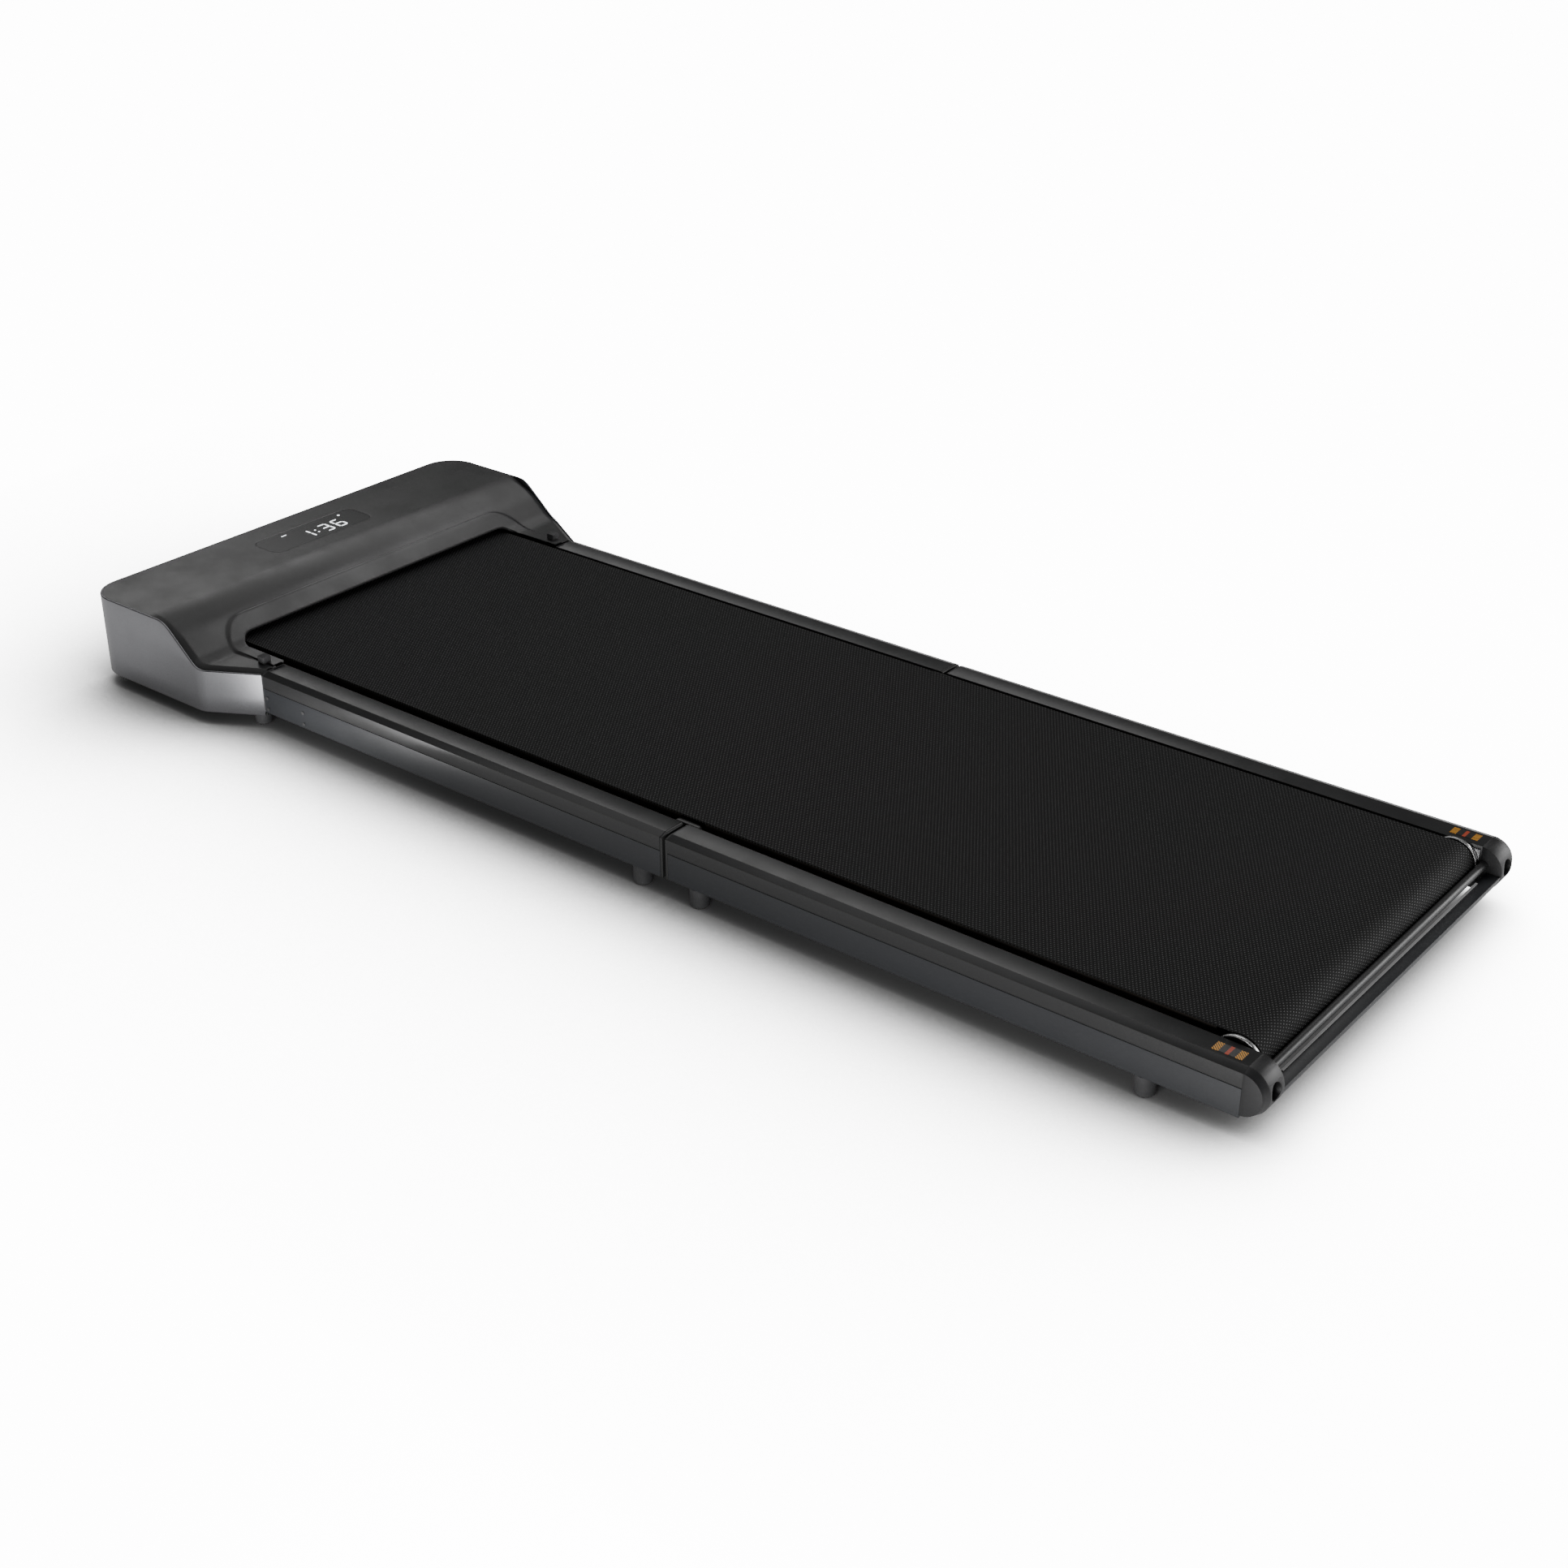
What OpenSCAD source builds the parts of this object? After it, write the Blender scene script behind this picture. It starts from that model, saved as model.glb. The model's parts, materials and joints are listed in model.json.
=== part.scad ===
// Folding walking treadmill: a low hood with a display at the front, and a belt deck that
// folds in half on two double-pivot links. The treads close face to face.
// +X is the user's right, +Y is the front (hood end), +Z is up. Origin: floor level,
// under the middle of the overall length and width.

/* [Overall] */
// Length from the rear nose to the front of the hood
overall_length = 1422; // [1400:1:1440]
// Length of the rear half, from the fold line to the rear nose
rear_half_length = 618; // [610:1:625]
// Length of the hood, from its front to where the side rails leave it
hood_length = 243; // [240:1:246]
// Width across the hood
hood_width = 549; // [545:1:553]
// Height of the hood's flat top above the floor
hood_height = 105.3; // [104:0.1:107]
// Height of the hood's lower edge above the floor
hood_clearance = 15; // [14:0.5:15.5]

/* [Rails] */
// Width over both side rails
deck_width = 480; // [478:1:482]
// Width of one side rail
rail_width = 31; // [31:0.5:32]
// Height of the rail tops above the floor
rail_top = 65; // [65:0.25:65.5]
// Height of the rail undersides above the floor
rail_bottom = 20; // [19:0.5:20]
// Height of the seam line along the rail sides
seam_height = 48; // [47:0.5:48.5]
// Width of the slot between the front and rear rails
fold_gap = 3.3; // [3:0.1:3.6]

/* [Belt and rollers] */
// Width of the running belt
belt_width = 400; // [396:1:402]
// Thickness of the running belt
belt_thickness = 1.7; // [1.6:0.1:1.8]
// Radius of both rollers' steel tubes
roller_radius = 19.7; // [19.5:0.1:19.9]
// Height of both roller axes above the floor
roller_height = 46; // [46:0.1:46.2]

/* [Fold link] */
// Half the distance between the two pivots of a fold link
pivot_offset = 11; // [11:0.1:11.3]
// Depth of the pivots below the rail tops
pivot_depth = 6; // [5.8:0.1:6.2]
// Radius of the pivot pins
pivot_pin_radius = 3; // [2.8:0.1:3]

/* [Wheels and feet] */
// Radius of the transport wheels
wheel_radius = 20; // [19:0.5:20]
// Radius of a rubber foot at its top
foot_radius = 9.7; // [9:0.1:9.8]

/* [Display] */
// Width of the display window
display_width = 146; // [140:1:150]
// Depth of the display window
display_depth = 46; // [44:1:48]

/* [Hidden] */
$fn = 64;

// Stations along the length
front_y = overall_length / 2;
rear_y = -front_y;
junction_y = front_y - hood_length;
fold_y = rear_y + rear_half_length;
rail_end_gap = fold_gap / 2;
gap_cap_thickness = 3;
rail_start = rail_end_gap + gap_cap_thickness;

// Stations across the width
rail_outer = deck_width / 2;
rail_inner = rail_outer - rail_width;
hood_half = hood_width / 2;
belt_half = belt_width / 2;

// Rail section
rail_height = rail_top - rail_bottom;
rail_wall = 2.5;
chamfer_width = 8.3;
chamfer_drop = 2.8;
seam_half = 0.35;
nose_radius = rail_height / 2;
nose_y = rear_y + nose_radius;
nose_z = rail_bottom + nose_radius;
cap_seam_y = nose_y - 1;

// Pivots of the fold link, measured from the fold line
pivot_z = rail_top - pivot_depth;
running_clearance = 0.05;

// Belt loop
belt_inner_radius = roller_radius + 0.3;
belt_outer_radius = belt_inner_radius + belt_thickness;
belt_cut = 6;
drive_roller_y = front_y - 136;
rear_roller_y = rear_y + 44.8;
rim_radius = belt_outer_radius + 0.8;
axle_radius = 6;
rim_inner = belt_half + 2.3;
rim_width = 3.7;

// Deck structure
board_thickness = 16;
board_top = roller_height + belt_inner_radius - 0.1;
board_half = belt_half - 2;
member_height = 18;
member_width = 24;
member_top = board_top - board_thickness - 4;
front_members = [45, 180, 320, 440, 540];
rear_members = [-45, -180, -330, -480];

// Hood
band_thickness = 2;
flare_length = 60;
flare_angle = atan((hood_half - rail_outer) / flare_length);
hood_corner_radius = 38;
hood_bend_radius = 25;
skirt_z = rail_top + 1.5;
band_skirt_z = rail_top - 2;
slope_angle = 41;
slope_foot_radius = 30;
band_foot_y = junction_y + 63;
band_head_radius = 28;
cover_foot_y = junction_y + 65;
cover_head_radius = 78;
cover_skin = 2.5;
mouth_half = rail_inner - 1;
mouth_front_y = junction_y + 76.5;
mouth_radius = 20;
brow_depth = 17;
brow_height = 1.5;
pan_thickness = 2.5;
display_y = front_y - 58.4;
display_z = hood_height;
window_top = display_z - 0.3;

// Motor drive: the motor turns the drive roller through a ribbed belt on the left
motor_y = drive_roller_y + 82;
motor_z = roller_height + 4;
motor_radius = 30;
motor_left = -190;
motor_right = -60;
big_pulley_radius = 25;
small_pulley_radius = 10;
pulley_width = 8;
pulley_lip = 0.4;
pulley_x = -(rim_inner + pulley_width / 2 + pulley_lip);
ribbed_belt_gap = 0.3;
ribbed_belt_thickness = 2;

// Power panel in the front of the hood
panel_x = 150;
panel_z = 52;
panel_width = 96;
panel_height = 34;
inlet_x = panel_x + 26;
rocker_x = panel_x - 10;
reset_x = panel_x - 36;

// Transport wheels
wheel_x = 222;
wheel_y = front_y - 28;
wheel_z = wheel_radius + 1.5;
wheel_width = 18;
wheel_axle_radius = 4;

// Feet
foot_x = rail_outer - foot_radius;
front_feet_y = [junction_y + 16, fold_y + 35];
rear_feet_y = [fold_y - 35, fold_y - 508];

// ---------- helpers ----------

// Points that round the corner b between a and c
function corner_arc(a, b, c, r, n) =
    let (
        u = (a - b) / norm(a - b),
        v = (c - b) / norm(c - b),
        half = acos(u * v) / 2,
        centre = b + (u + v) / norm(u + v) * r / sin(half),
        s = b + u * r / tan(half) - centre,
        e = b + v * r / tan(half) - centre,
        a0 = atan2(s.y, s.x),
        turn = atan2(s.x * e.y - s.y * e.x, s * e)
    )
    [for (i = [0:n]) centre + r * [cos(a0 + turn * i / n), sin(a0 + turn * i / n)]];

// Closed outline with each corner rounded by its own radius
function rounded(points, radii, n = 8) =
    let (count = len(points))
    [for (i = [0:count - 1])
        each radii[i] == 0
            ? [points[i]]
            : corner_arc(points[(i + count - 1) % count], points[i], points[(i + 1) % count], radii[i], n)];

// Extrudes an (X, Z) shape along Y
module along_y(y0, y1) {
    translate([0, y1, 0]) rotate([90, 0, 0]) linear_extrude(y1 - y0) children();
}

// Extrudes a (Y, Z) shape along X
module along_x(x0, x1) {
    translate([x0, 0, 0]) rotate([90, 0, 90]) linear_extrude(x1 - x0) children();
}

// Cylinder along X
module rod_x(x0, x1, y, z, r) {
    translate([x0, y, z]) rotate([0, 90, 0]) cylinder(r = r, h = x1 - x0);
}

// Cylinder along Y
module rod_y(y0, y1, x, z, r) {
    translate([x, y1, z]) rotate([90, 0, 0]) cylinder(r = r, h = y1 - y0);
}

// Box given by its low and high corners
module block(low, high) {
    translate(low) cube(high - low);
}

// A copy on the right and a mirrored copy on the left
module both_sides() {
    children();
    mirror([1, 0, 0]) children();
}

// ---------- side rails ----------

// Outer section of the right rail
module rail_section() {
    polygon([
        [rail_inner, rail_bottom],
        [rail_outer, rail_bottom],
        [rail_outer, rail_top - chamfer_drop],
        [rail_outer - chamfer_width, rail_top],
        [rail_inner, rail_top]
    ]);
}

// Hollow lower beam of the right rail
module beam_section() {
    difference() {
        polygon([
            [rail_inner, rail_bottom],
            [rail_outer, rail_bottom],
            [rail_outer, seam_height - seam_half],
            [rail_inner, seam_height - seam_half]
        ]);
        polygon([
            [rail_inner + rail_wall, rail_bottom + rail_wall],
            [rail_outer - rail_wall, rail_bottom + rail_wall],
            [rail_outer - rail_wall, seam_height - seam_half - rail_wall],
            [rail_inner + rail_wall, seam_height - seam_half - rail_wall]
        ]);
    }
}

// Inverted channel that covers the beam of the right rail
module trim_section() {
    seat = seam_height - seam_half;
    polygon([
        [rail_inner, seat],
        [rail_inner + rail_wall, seat],
        [rail_inner + rail_wall, rail_top - rail_wall],
        [rail_outer - chamfer_width - 0.4, rail_top - rail_wall],
        [rail_outer - rail_wall, rail_top - chamfer_drop - 1.7],
        [rail_outer - rail_wall, seam_height + seam_half],
        [rail_outer, seam_height + seam_half],
        [rail_outer, rail_top - chamfer_drop],
        [rail_outer - chamfer_width, rail_top],
        [rail_inner, rail_top]
    ]);
}

// Opening in the inner walls for a roller axle
module axle_slot(y) {
    half_height = 8;
    block(
        [rail_inner - 1, y - 16, roller_height - half_height],
        [rail_inner + rail_wall + 1, y + 10, roller_height + half_height]
    );
}

// Room inside the right rail for the rear axle's end and its tension bolt
module tension_space() {
    block(
        [rail_inner + rail_wall, cap_seam_y - 1, roller_height - 10],
        [rail_outer - rail_wall, rear_roller_y + 10, seam_height + 1]
    );
}

module front_side_beams() {
    color("dimgray") both_sides() along_y(fold_y + rail_start, junction_y - 2) beam_section();
    // Narrower stub that carries on inside the hood and holds the drive roller
    color("dimgray") both_sides() difference() {
        block(
            [rail_inner + 3, junction_y - 2, rail_bottom + 3],
            [rail_outer - 7, drive_roller_y + 20, seam_height + 12]
        );
        rod_x(rail_inner, rail_outer, drive_roller_y, roller_height, axle_radius);
    }
}

module rear_side_beams() {
    color("dimgray") both_sides() difference() {
        along_y(cap_seam_y, fold_y - rail_start) beam_section();
        axle_slot(rear_roller_y);
        tension_space();
    }
}

// Clearance hole for a pivot pin in the right trim's inner wall
module pin_clearance_hole(y) {
    rod_x(rail_inner - 1, rail_inner + rail_wall + 1, y, pivot_z, pivot_pin_radius + 0.6);
}

module front_rail_trims() {
    color("gray") both_sides() difference() {
        along_y(fold_y + rail_start, junction_y - 2) trim_section();
        pin_clearance_hole(fold_y + pivot_offset);
    }
}

module rear_rail_trims() {
    color("gray") both_sides() difference() {
        along_y(cap_seam_y, fold_y - rail_start) trim_section();
        pin_clearance_hole(fold_y - pivot_offset);
        axle_slot(rear_roller_y);
    }
}

// Plastic plug in a rail end at the fold line, bevelled so that the ends pass each other
module gap_caps(direction) {
    bevel = 1.5;
    near = fold_y + direction * rail_end_gap;
    far = fold_y + direction * rail_start;
    both_sides() intersection() {
        along_y(min(near, far), max(near, far)) rail_section();
        along_x(rail_inner - 1, rail_outer + 1) polygon([
            [near, rail_bottom],
            [far, rail_bottom],
            [far, rail_top],
            [near + direction * bevel, rail_top],
            [near, rail_top - bevel]
        ]);
    }
}

module front_gap_caps() {
    color("darkslategray") gap_caps(1);
}

module rear_gap_caps() {
    color("darkslategray") gap_caps(-1);
}

// Steel block inside a rail end, bored for the pivot pin
module hinge_blocks(direction) {
    near = fold_y + direction * (rail_start + 0.2);
    far = fold_y + direction * 32;
    block_width = 14;
    pin_y = fold_y + direction * pivot_offset;
    both_sides() difference() {
        block(
            [rail_inner + rail_wall, min(near, far), seam_height + 1],
            [rail_inner + rail_wall + block_width, max(near, far), rail_top - rail_wall]
        );
        rod_x(rail_inner, rail_outer, pin_y, pivot_z, pivot_pin_radius + running_clearance);
    }
}

module front_hinge_blocks() {
    color("silver") hinge_blocks(1);
}

module rear_hinge_blocks() {
    color("silver") hinge_blocks(-1);
}

// Rubber gasket between each front rail and the hood
module rail_gaskets() {
    color("black") both_sides() difference() {
        along_y(junction_y - 2, junction_y) rail_section();
        block(
            [rail_inner + 3, junction_y - 3, rail_bottom + 3],
            [rail_outer - 7, junction_y + 1, seam_height + 12]
        );
    }
}

// ---------- fold link ----------

link_inner = belt_half + 2;
link_outer = rail_inner - 2;
link_boss = 5;
guide_z = pivot_z - 21;
guide_radius = 6;

// Circles at a link's two pivots
module link_pivots(r) {
    for (side = [-1, 1]) translate([fold_y + side * pivot_offset, pivot_z]) circle(r = r);
}

// Plate with two pivot bosses and a lobe for the guide tube
module link_plate() {
    lobe = guide_radius + 2;
    along_x(link_inner, link_outer) difference() {
        union() {
            link_pivots(link_boss);
            translate([fold_y, guide_z]) circle(r = lobe);
            polygon([
                [fold_y - pivot_offset, pivot_z + link_boss],
                [fold_y - pivot_offset - link_boss, pivot_z],
                [fold_y - lobe, guide_z],
                [fold_y + lobe, guide_z],
                [fold_y + pivot_offset + link_boss, pivot_z],
                [fold_y + pivot_offset, pivot_z + link_boss]
            ]);
        }
        link_pivots(pivot_pin_radius);
        translate([fold_y, guide_z]) circle(r = guide_radius);
    }
}

module fold_links() {
    color("black") both_sides() link_plate();
}

module fold_pins() {
    color("silver") both_sides() for (side = [-1, 1])
        rod_x(link_inner, rail_inner + 15, fold_y + side * pivot_offset, pivot_z, pivot_pin_radius);
}

// Tube between the two links that turns the belt round the outside of the fold
module belt_guide_tube() {
    color("silver") difference() {
        rod_x(-link_outer, link_outer, fold_y, guide_z, guide_radius);
        rod_x(-rail_outer, rail_outer, fold_y, guide_z, guide_radius - 1.5);
    }
}

// ---------- deck ----------

// Walking board, a little narrower than the belt that slides over it
module deck_board(y0, y1) {
    block([-board_half, y0, board_top - board_thickness], [board_half, y1, board_top]);
}

board_gap = 15;

module front_deck_board() {
    color("saddlebrown") deck_board(fold_y + board_gap, mouth_front_y - mouth_radius);
}

module rear_deck_board() {
    color("saddlebrown") deck_board(rear_roller_y + belt_outer_radius + 2, fold_y - board_gap);
}

module cross_members(stations) {
    for (y = stations) difference() {
        block(
            [-rail_inner, y - member_width / 2, member_top - member_height],
            [rail_inner, y + member_width / 2, member_top]
        );
        block(
            [-rail_outer, y - member_width / 2 + 2, member_top - member_height + 2],
            [rail_outer, y + member_width / 2 - 2, member_top - 2]
        );
    }
}

module front_cross_members() {
    color("dimgray") cross_members([for (y = front_members) fold_y + y]);
}

module rear_cross_members() {
    color("dimgray") cross_members([for (y = rear_members) fold_y + y]);
}

// Rubber pads between the cross members and the board
module deck_cushions(stations) {
    for (y = stations, x = [-180, 180])
        translate([x, y, member_top]) cylinder(r = 11, h = board_top - board_thickness - member_top);
}

module front_deck_cushions() {
    color("black") deck_cushions([for (y = front_members) fold_y + y]);
}

module rear_deck_cushions() {
    color("black") deck_cushions([for (y = rear_members) fold_y + y]);
}

module bottom_cover(y0, y1) {
    block([-rail_inner + 0.5, y0, rail_bottom], [rail_inner - 0.5, y1, rail_bottom + 1.5]);
}

module front_bottom_cover() {
    color("black") bottom_cover(fold_y + rail_start, junction_y - 2);
}

module rear_bottom_cover() {
    color("black") bottom_cover(rear_roller_y + 24, fold_y - rail_start);
}

// One foot: a slightly tapered rubber cylinder with a rounded tread edge
module foot(top) {
    tread = 1.5;
    rotate_extrude() polygon([
        [0, 0],
        [foot_radius - 0.6 - tread, 0],
        [foot_radius - 0.6, tread],
        [foot_radius, top],
        [0, top]
    ]);
}

module front_feet() {
    color("darkslategray") both_sides() {
        translate([foot_x, front_feet_y[0], 0]) foot(hood_clearance);
        translate([foot_x, front_feet_y[1], 0]) foot(rail_bottom);
    }
}

module rear_feet() {
    color("darkslategray") both_sides() for (y = rear_feet_y) translate([foot_x, y, 0]) foot(rail_bottom);
}

// Two columns of screw heads in each rail side by the hood
module side_screws() {
    screw_radius = 2;
    head_height = 0.6;
    color("black") both_sides() for (y = [junction_y - 6, junction_y - 62], z = [24.5, 37.5])
        rod_x(rail_outer, rail_outer + head_height, y, z, screw_radius);
}

// ---------- running belt ----------

// Half of the belt loop, open at the fold line. direction is +1 for the front half.
module belt_half_loop(roller_y, direction) {
    cut = fold_y + direction * belt_cut;
    far = roller_y + direction * (belt_outer_radius + 1);
    difference() {
        union() {
            rod_x(-belt_half, belt_half, roller_y, roller_height, belt_outer_radius);
            block(
                [-belt_half, min(cut, roller_y), roller_height - belt_outer_radius],
                [belt_half, max(cut, roller_y), roller_height + belt_outer_radius]
            );
        }
        rod_x(-belt_half - 1, belt_half + 1, roller_y, roller_height, belt_inner_radius);
        block(
            [-belt_half - 1, min(cut - direction, roller_y), roller_height - belt_inner_radius],
            [belt_half + 1, max(cut - direction, roller_y), roller_height + belt_inner_radius]
        );
    }
}

module front_belt() {
    color("black") belt_half_loop(drive_roller_y, 1);
}

module rear_belt() {
    color("black") belt_half_loop(rear_roller_y, -1);
}

// ---------- rollers ----------

// Steel tube that turns on a fixed axle
module roller_tube(y) {
    difference() {
        rod_x(-rim_inner, rim_inner, y, roller_height, roller_radius);
        rod_x(-belt_half - 10, belt_half + 10, y, roller_height, roller_radius - 2.5);
    }
}

// Flanged end plug with its bearing seat
module roller_rims(y) {
    both_sides() difference() {
        union() {
            rod_x(rim_inner, rim_inner + rim_width, y, roller_height, rim_radius);
            rod_x(rim_inner - 14, rim_inner, y, roller_height, roller_radius - 2.5);
        }
        rod_x(rim_inner - 20, rim_inner + 10, y, roller_height, axle_radius + running_clearance);
    }
}

module drive_roller() {
    color("silver") roller_tube(drive_roller_y);
}

// The drive side has no flange, because the pulley closes that end
module drive_roller_rims() {
    color("silver") difference() {
        roller_rims(drive_roller_y);
        block(
            [-rim_inner - 10, drive_roller_y - 40, 0],
            [-rim_inner, drive_roller_y + 40, roller_height + 40]
        );
    }
}

module rear_roller() {
    color("silver") roller_tube(rear_roller_y);
}

module rear_roller_rims() {
    color("silver") roller_rims(rear_roller_y);
}

module drive_roller_axle() {
    color("gray") rod_x(-rail_outer + 7, rail_outer - 7, drive_roller_y, roller_height, axle_radius);
}

module rear_roller_axle() {
    color("gray") rod_x(-rail_outer + 4, rail_outer - 4, rear_roller_y, roller_height, axle_radius);
}

// Grooved pulley on the left end of the drive roller
module grooved_pulley(y, z, r, bore) {
    difference() {
        union() {
            rod_x(pulley_x - pulley_width / 2, pulley_x + pulley_width / 2, y, z, r);
            for (side = [-1, 1])
                rod_x(
                    pulley_x + side * pulley_width / 2 - pulley_lip,
                    pulley_x + side * pulley_width / 2 + pulley_lip,
                    y, z, r + 1.4
                );
        }
        rod_x(pulley_x - 20, pulley_x + 20, y, z, bore);
    }
}

module roller_pulley() {
    bore = axle_radius + running_clearance;
    color("dimgray") grooved_pulley(drive_roller_y, roller_height, big_pulley_radius, bore);
}

module motor_pulley() {
    color("dimgray") grooved_pulley(motor_y, motor_z, small_pulley_radius, motor_shaft_radius);
}

// Ribbed belt round both pulleys: two arcs joined by straight runs
module ribbed_belt_outline(extra) {
    dy = motor_y - drive_roller_y;
    dz = motor_z - roller_height;
    span = norm([dy, dz]);
    tilt = atan2(dz, dy);
    r0 = big_pulley_radius + ribbed_belt_gap + extra;
    r1 = small_pulley_radius + ribbed_belt_gap + extra;
    lean = acos((r0 - r1) / span);
    translate([drive_roller_y, roller_height]) rotate(tilt) {
        circle(r = r0);
        translate([span, 0]) circle(r = r1);
        polygon([
            r0 * [cos(lean), sin(lean)],
            [span, 0] + r1 * [cos(lean), sin(lean)],
            [span, 0] + r1 * [cos(lean), -sin(lean)],
            r0 * [cos(lean), -sin(lean)]
        ]);
    }
}

module poly_v_belt() {
    half_width = pulley_width / 2 - 0.8;
    color("black") along_x(pulley_x - half_width, pulley_x + half_width) difference() {
        ribbed_belt_outline(ribbed_belt_thickness);
        ribbed_belt_outline(0);
    }
}

// ---------- motor ----------

motor_shaft_radius = 5;
bell_thickness = 6;

// Ribbed motor can with an end bell at each end
module motor_housing() {
    rib_pitch = 14;
    rib_width = 3;
    rib_height = 1.5;
    wall = 5;
    inner_left = motor_left + bell_thickness;
    inner_right = motor_right - bell_thickness;
    color("dimgray") difference() {
        union() {
            rod_x(motor_left, motor_right, motor_y, motor_z, motor_radius - rib_height);
            for (x = [motor_left + rib_pitch : rib_pitch : motor_right - rib_pitch])
                rod_x(x, x + rib_width, motor_y, motor_z, motor_radius);
            for (x = [motor_left, inner_right])
                rod_x(x, x + bell_thickness, motor_y, motor_z, motor_radius);
        }
        rod_x(inner_left, inner_right, motor_y, motor_z, motor_radius - wall);
        rod_x(motor_left - 1, motor_right + 1, motor_y, motor_z, motor_shaft_radius + running_clearance);
    }
}

// Armature, shaft and cooling fan
module motor_rotor() {
    fan_x = motor_right + 4;
    color("silver") {
        rod_x(pulley_x - pulley_width, fan_x + 8, motor_y, motor_z, motor_shaft_radius);
        rod_x(motor_left + 14, motor_right - 14, motor_y, motor_z, motor_radius - 8);
        rod_x(fan_x, fan_x + 3, motor_y, motor_z, motor_radius - 4);
        for (blade = [0:45:315]) translate([fan_x, motor_y, motor_z]) rotate([blade, 0, 0])
            translate([0, -1, motor_shaft_radius]) cube([10, 2, motor_radius - 10]);
    }
}

// Cradle that stands the motor on the hood's base pan
module motor_bracket() {
    floor_z = hood_clearance + pan_thickness;
    color("gray") difference() {
        for (x = [motor_left + 20, motor_right - 30]) {
            block([x, motor_y - 30, floor_z], [x + 10, motor_y + 30, motor_z - 12]);
        }
        rod_x(motor_left - 1, motor_right + 1, motor_y, motor_z, motor_radius + 0.02);
    }
}

// ---------- hood ----------

// Plan outline of the hood, inset from its outer face; tail carries the rear end on past the junction
function hood_outline(inset, tail = 0) =
    let (
        side = hood_half - inset,
        bend_y = junction_y + flare_length + inset * tan(flare_angle / 2),
        rear_side = rail_outer - inset / cos(flare_angle) - tail * tan(flare_angle),
        front = front_y - inset
    )
    rounded(
        [
            [-rear_side, junction_y - tail], [rear_side, junction_y - tail],
            [side, bend_y], [side, front], [-side, front], [-side, bend_y]
        ],
        [
            0, 0, hood_bend_radius - inset, hood_corner_radius - inset,
            hood_corner_radius - inset, hood_bend_radius - inset
        ]
    );

// Side profile of the hood's top, from rear to front: skirt at height low, slope, flat top
function hood_profile(foot_y, low, high, head_radius) =
    let (head_y = foot_y + (high - low) / tan(slope_angle))
    rounded(
        [
            [junction_y - 20, low], [foot_y, low], [head_y, high],
            [front_y + 20, high], [front_y + 20, 0], [junction_y - 20, 0]
        ],
        [0, slope_foot_radius, head_radius, 0, 0, 0]
    );

// Hood block inside a plan outline and under a side profile
module hood_solid(inset, profile, tail = 0) {
    intersection() {
        linear_extrude(hood_height + 20) polygon(hood_outline(inset, tail));
        along_x(-hood_half - 1, hood_half + 1) polygon(profile);
    }
}

// The cover's side profile, raised by lift
function cover_profile(lift = 0) =
    hood_profile(cover_foot_y, skirt_z + lift, hood_height + min(lift, 0), cover_head_radius);

// Aluminium ribbon that wraps the front and sides
module hood_band() {
    color("silver") difference() {
        hood_solid(0, hood_profile(band_foot_y, band_skirt_z, hood_height, band_head_radius));
        translate([0, 0, -1]) linear_extrude(hood_height + 30) polygon(hood_outline(band_thickness, 5));
        block([-hood_width, -front_y, -1], [hood_width, front_y + 1, hood_clearance]);
        panel_block(panel_x, [panel_width, panel_height] / 2, front_y - 10, front_y + 1);
    }
}

// Block centred on the power panel's height, given by its half sizes in X and Z
module panel_block(x, half, y0, y1) {
    block([x - half.x, y0, panel_z - half.y], [x + half.x, y1, panel_z + half.y]);
}

// Plan outline of the belt's mouth in the cover
module mouth_outline(grow) {
    polygon(rounded(
        [
            [-mouth_half - grow, junction_y - 30], [mouth_half + grow, junction_y - 30],
            [mouth_half + grow, mouth_front_y + grow], [-mouth_half - grow, mouth_front_y + grow]
        ],
        [0, 0, mouth_radius + grow, mouth_radius + grow]
    ));
}

// Dark top moulding: flat top, slope and skirt, with a raised brow over the belt's mouth
module hood_cover() {
    inset = band_thickness + 0.2;
    flange = 10;
    color("darkslategray") difference() {
        union() {
            hood_solid(inset, cover_profile());
            intersection() {
                hood_solid(inset, cover_profile(brow_height));
                linear_extrude(hood_height + 20) difference() {
                    mouth_outline(brow_depth);
                    translate([-hood_width, 0]) square([2 * hood_width, junction_y + 24]);
                }
            }
        }
        hood_solid(inset + cover_skin, cover_profile(-cover_skin), 10);
        translate([0, 0, -1]) linear_extrude(hood_height + 30) mouth_outline(0);
        along_x(-hood_half - 1, hood_half + 1) polygon(cover_profile(-flange));
        display_opening(0, 20);
    }
}

// Rounded rectangle at the display, grown by a margin
module display_opening(grow, depth) {
    half = [display_width / 2 + grow, display_depth / 2 + grow];
    corner = 12 + grow;
    translate([0, display_y, display_z - depth]) linear_extrude(depth + 5)
        polygon(rounded(
            [[-half.x, -half.y], [half.x, -half.y], [half.x, half.y], [-half.x, half.y]],
            [corner, corner, corner, corner]
        ));
}

module display_window() {
    color("black") intersection() {
        display_opening(-0.15, 4);
        block([-hood_half, 0, window_top - 3], [hood_half, front_y, window_top]);
    }
}

digit_height = 20;
digit_width = 10.5;
segment_width = 1.7;

// Segments lit for each digit: top, top right, bottom right, bottom, bottom left, top left, middle
function lit_segments(digit) =
    digit == 1 ? [0, 1, 1, 0, 0, 0, 0] :
    digit == 3 ? [1, 1, 1, 1, 0, 0, 1] :
    [1, 0, 1, 1, 1, 1, 1];

// One segment bar, pointed at both ends
module segment_bar(length) {
    half = length / 2 - 0.5;
    w = segment_width / 2;
    polygon([[-half, 0], [-half + w, w], [half - w, w], [half, 0], [half - w, -w], [-half + w, -w]]);
}

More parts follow.
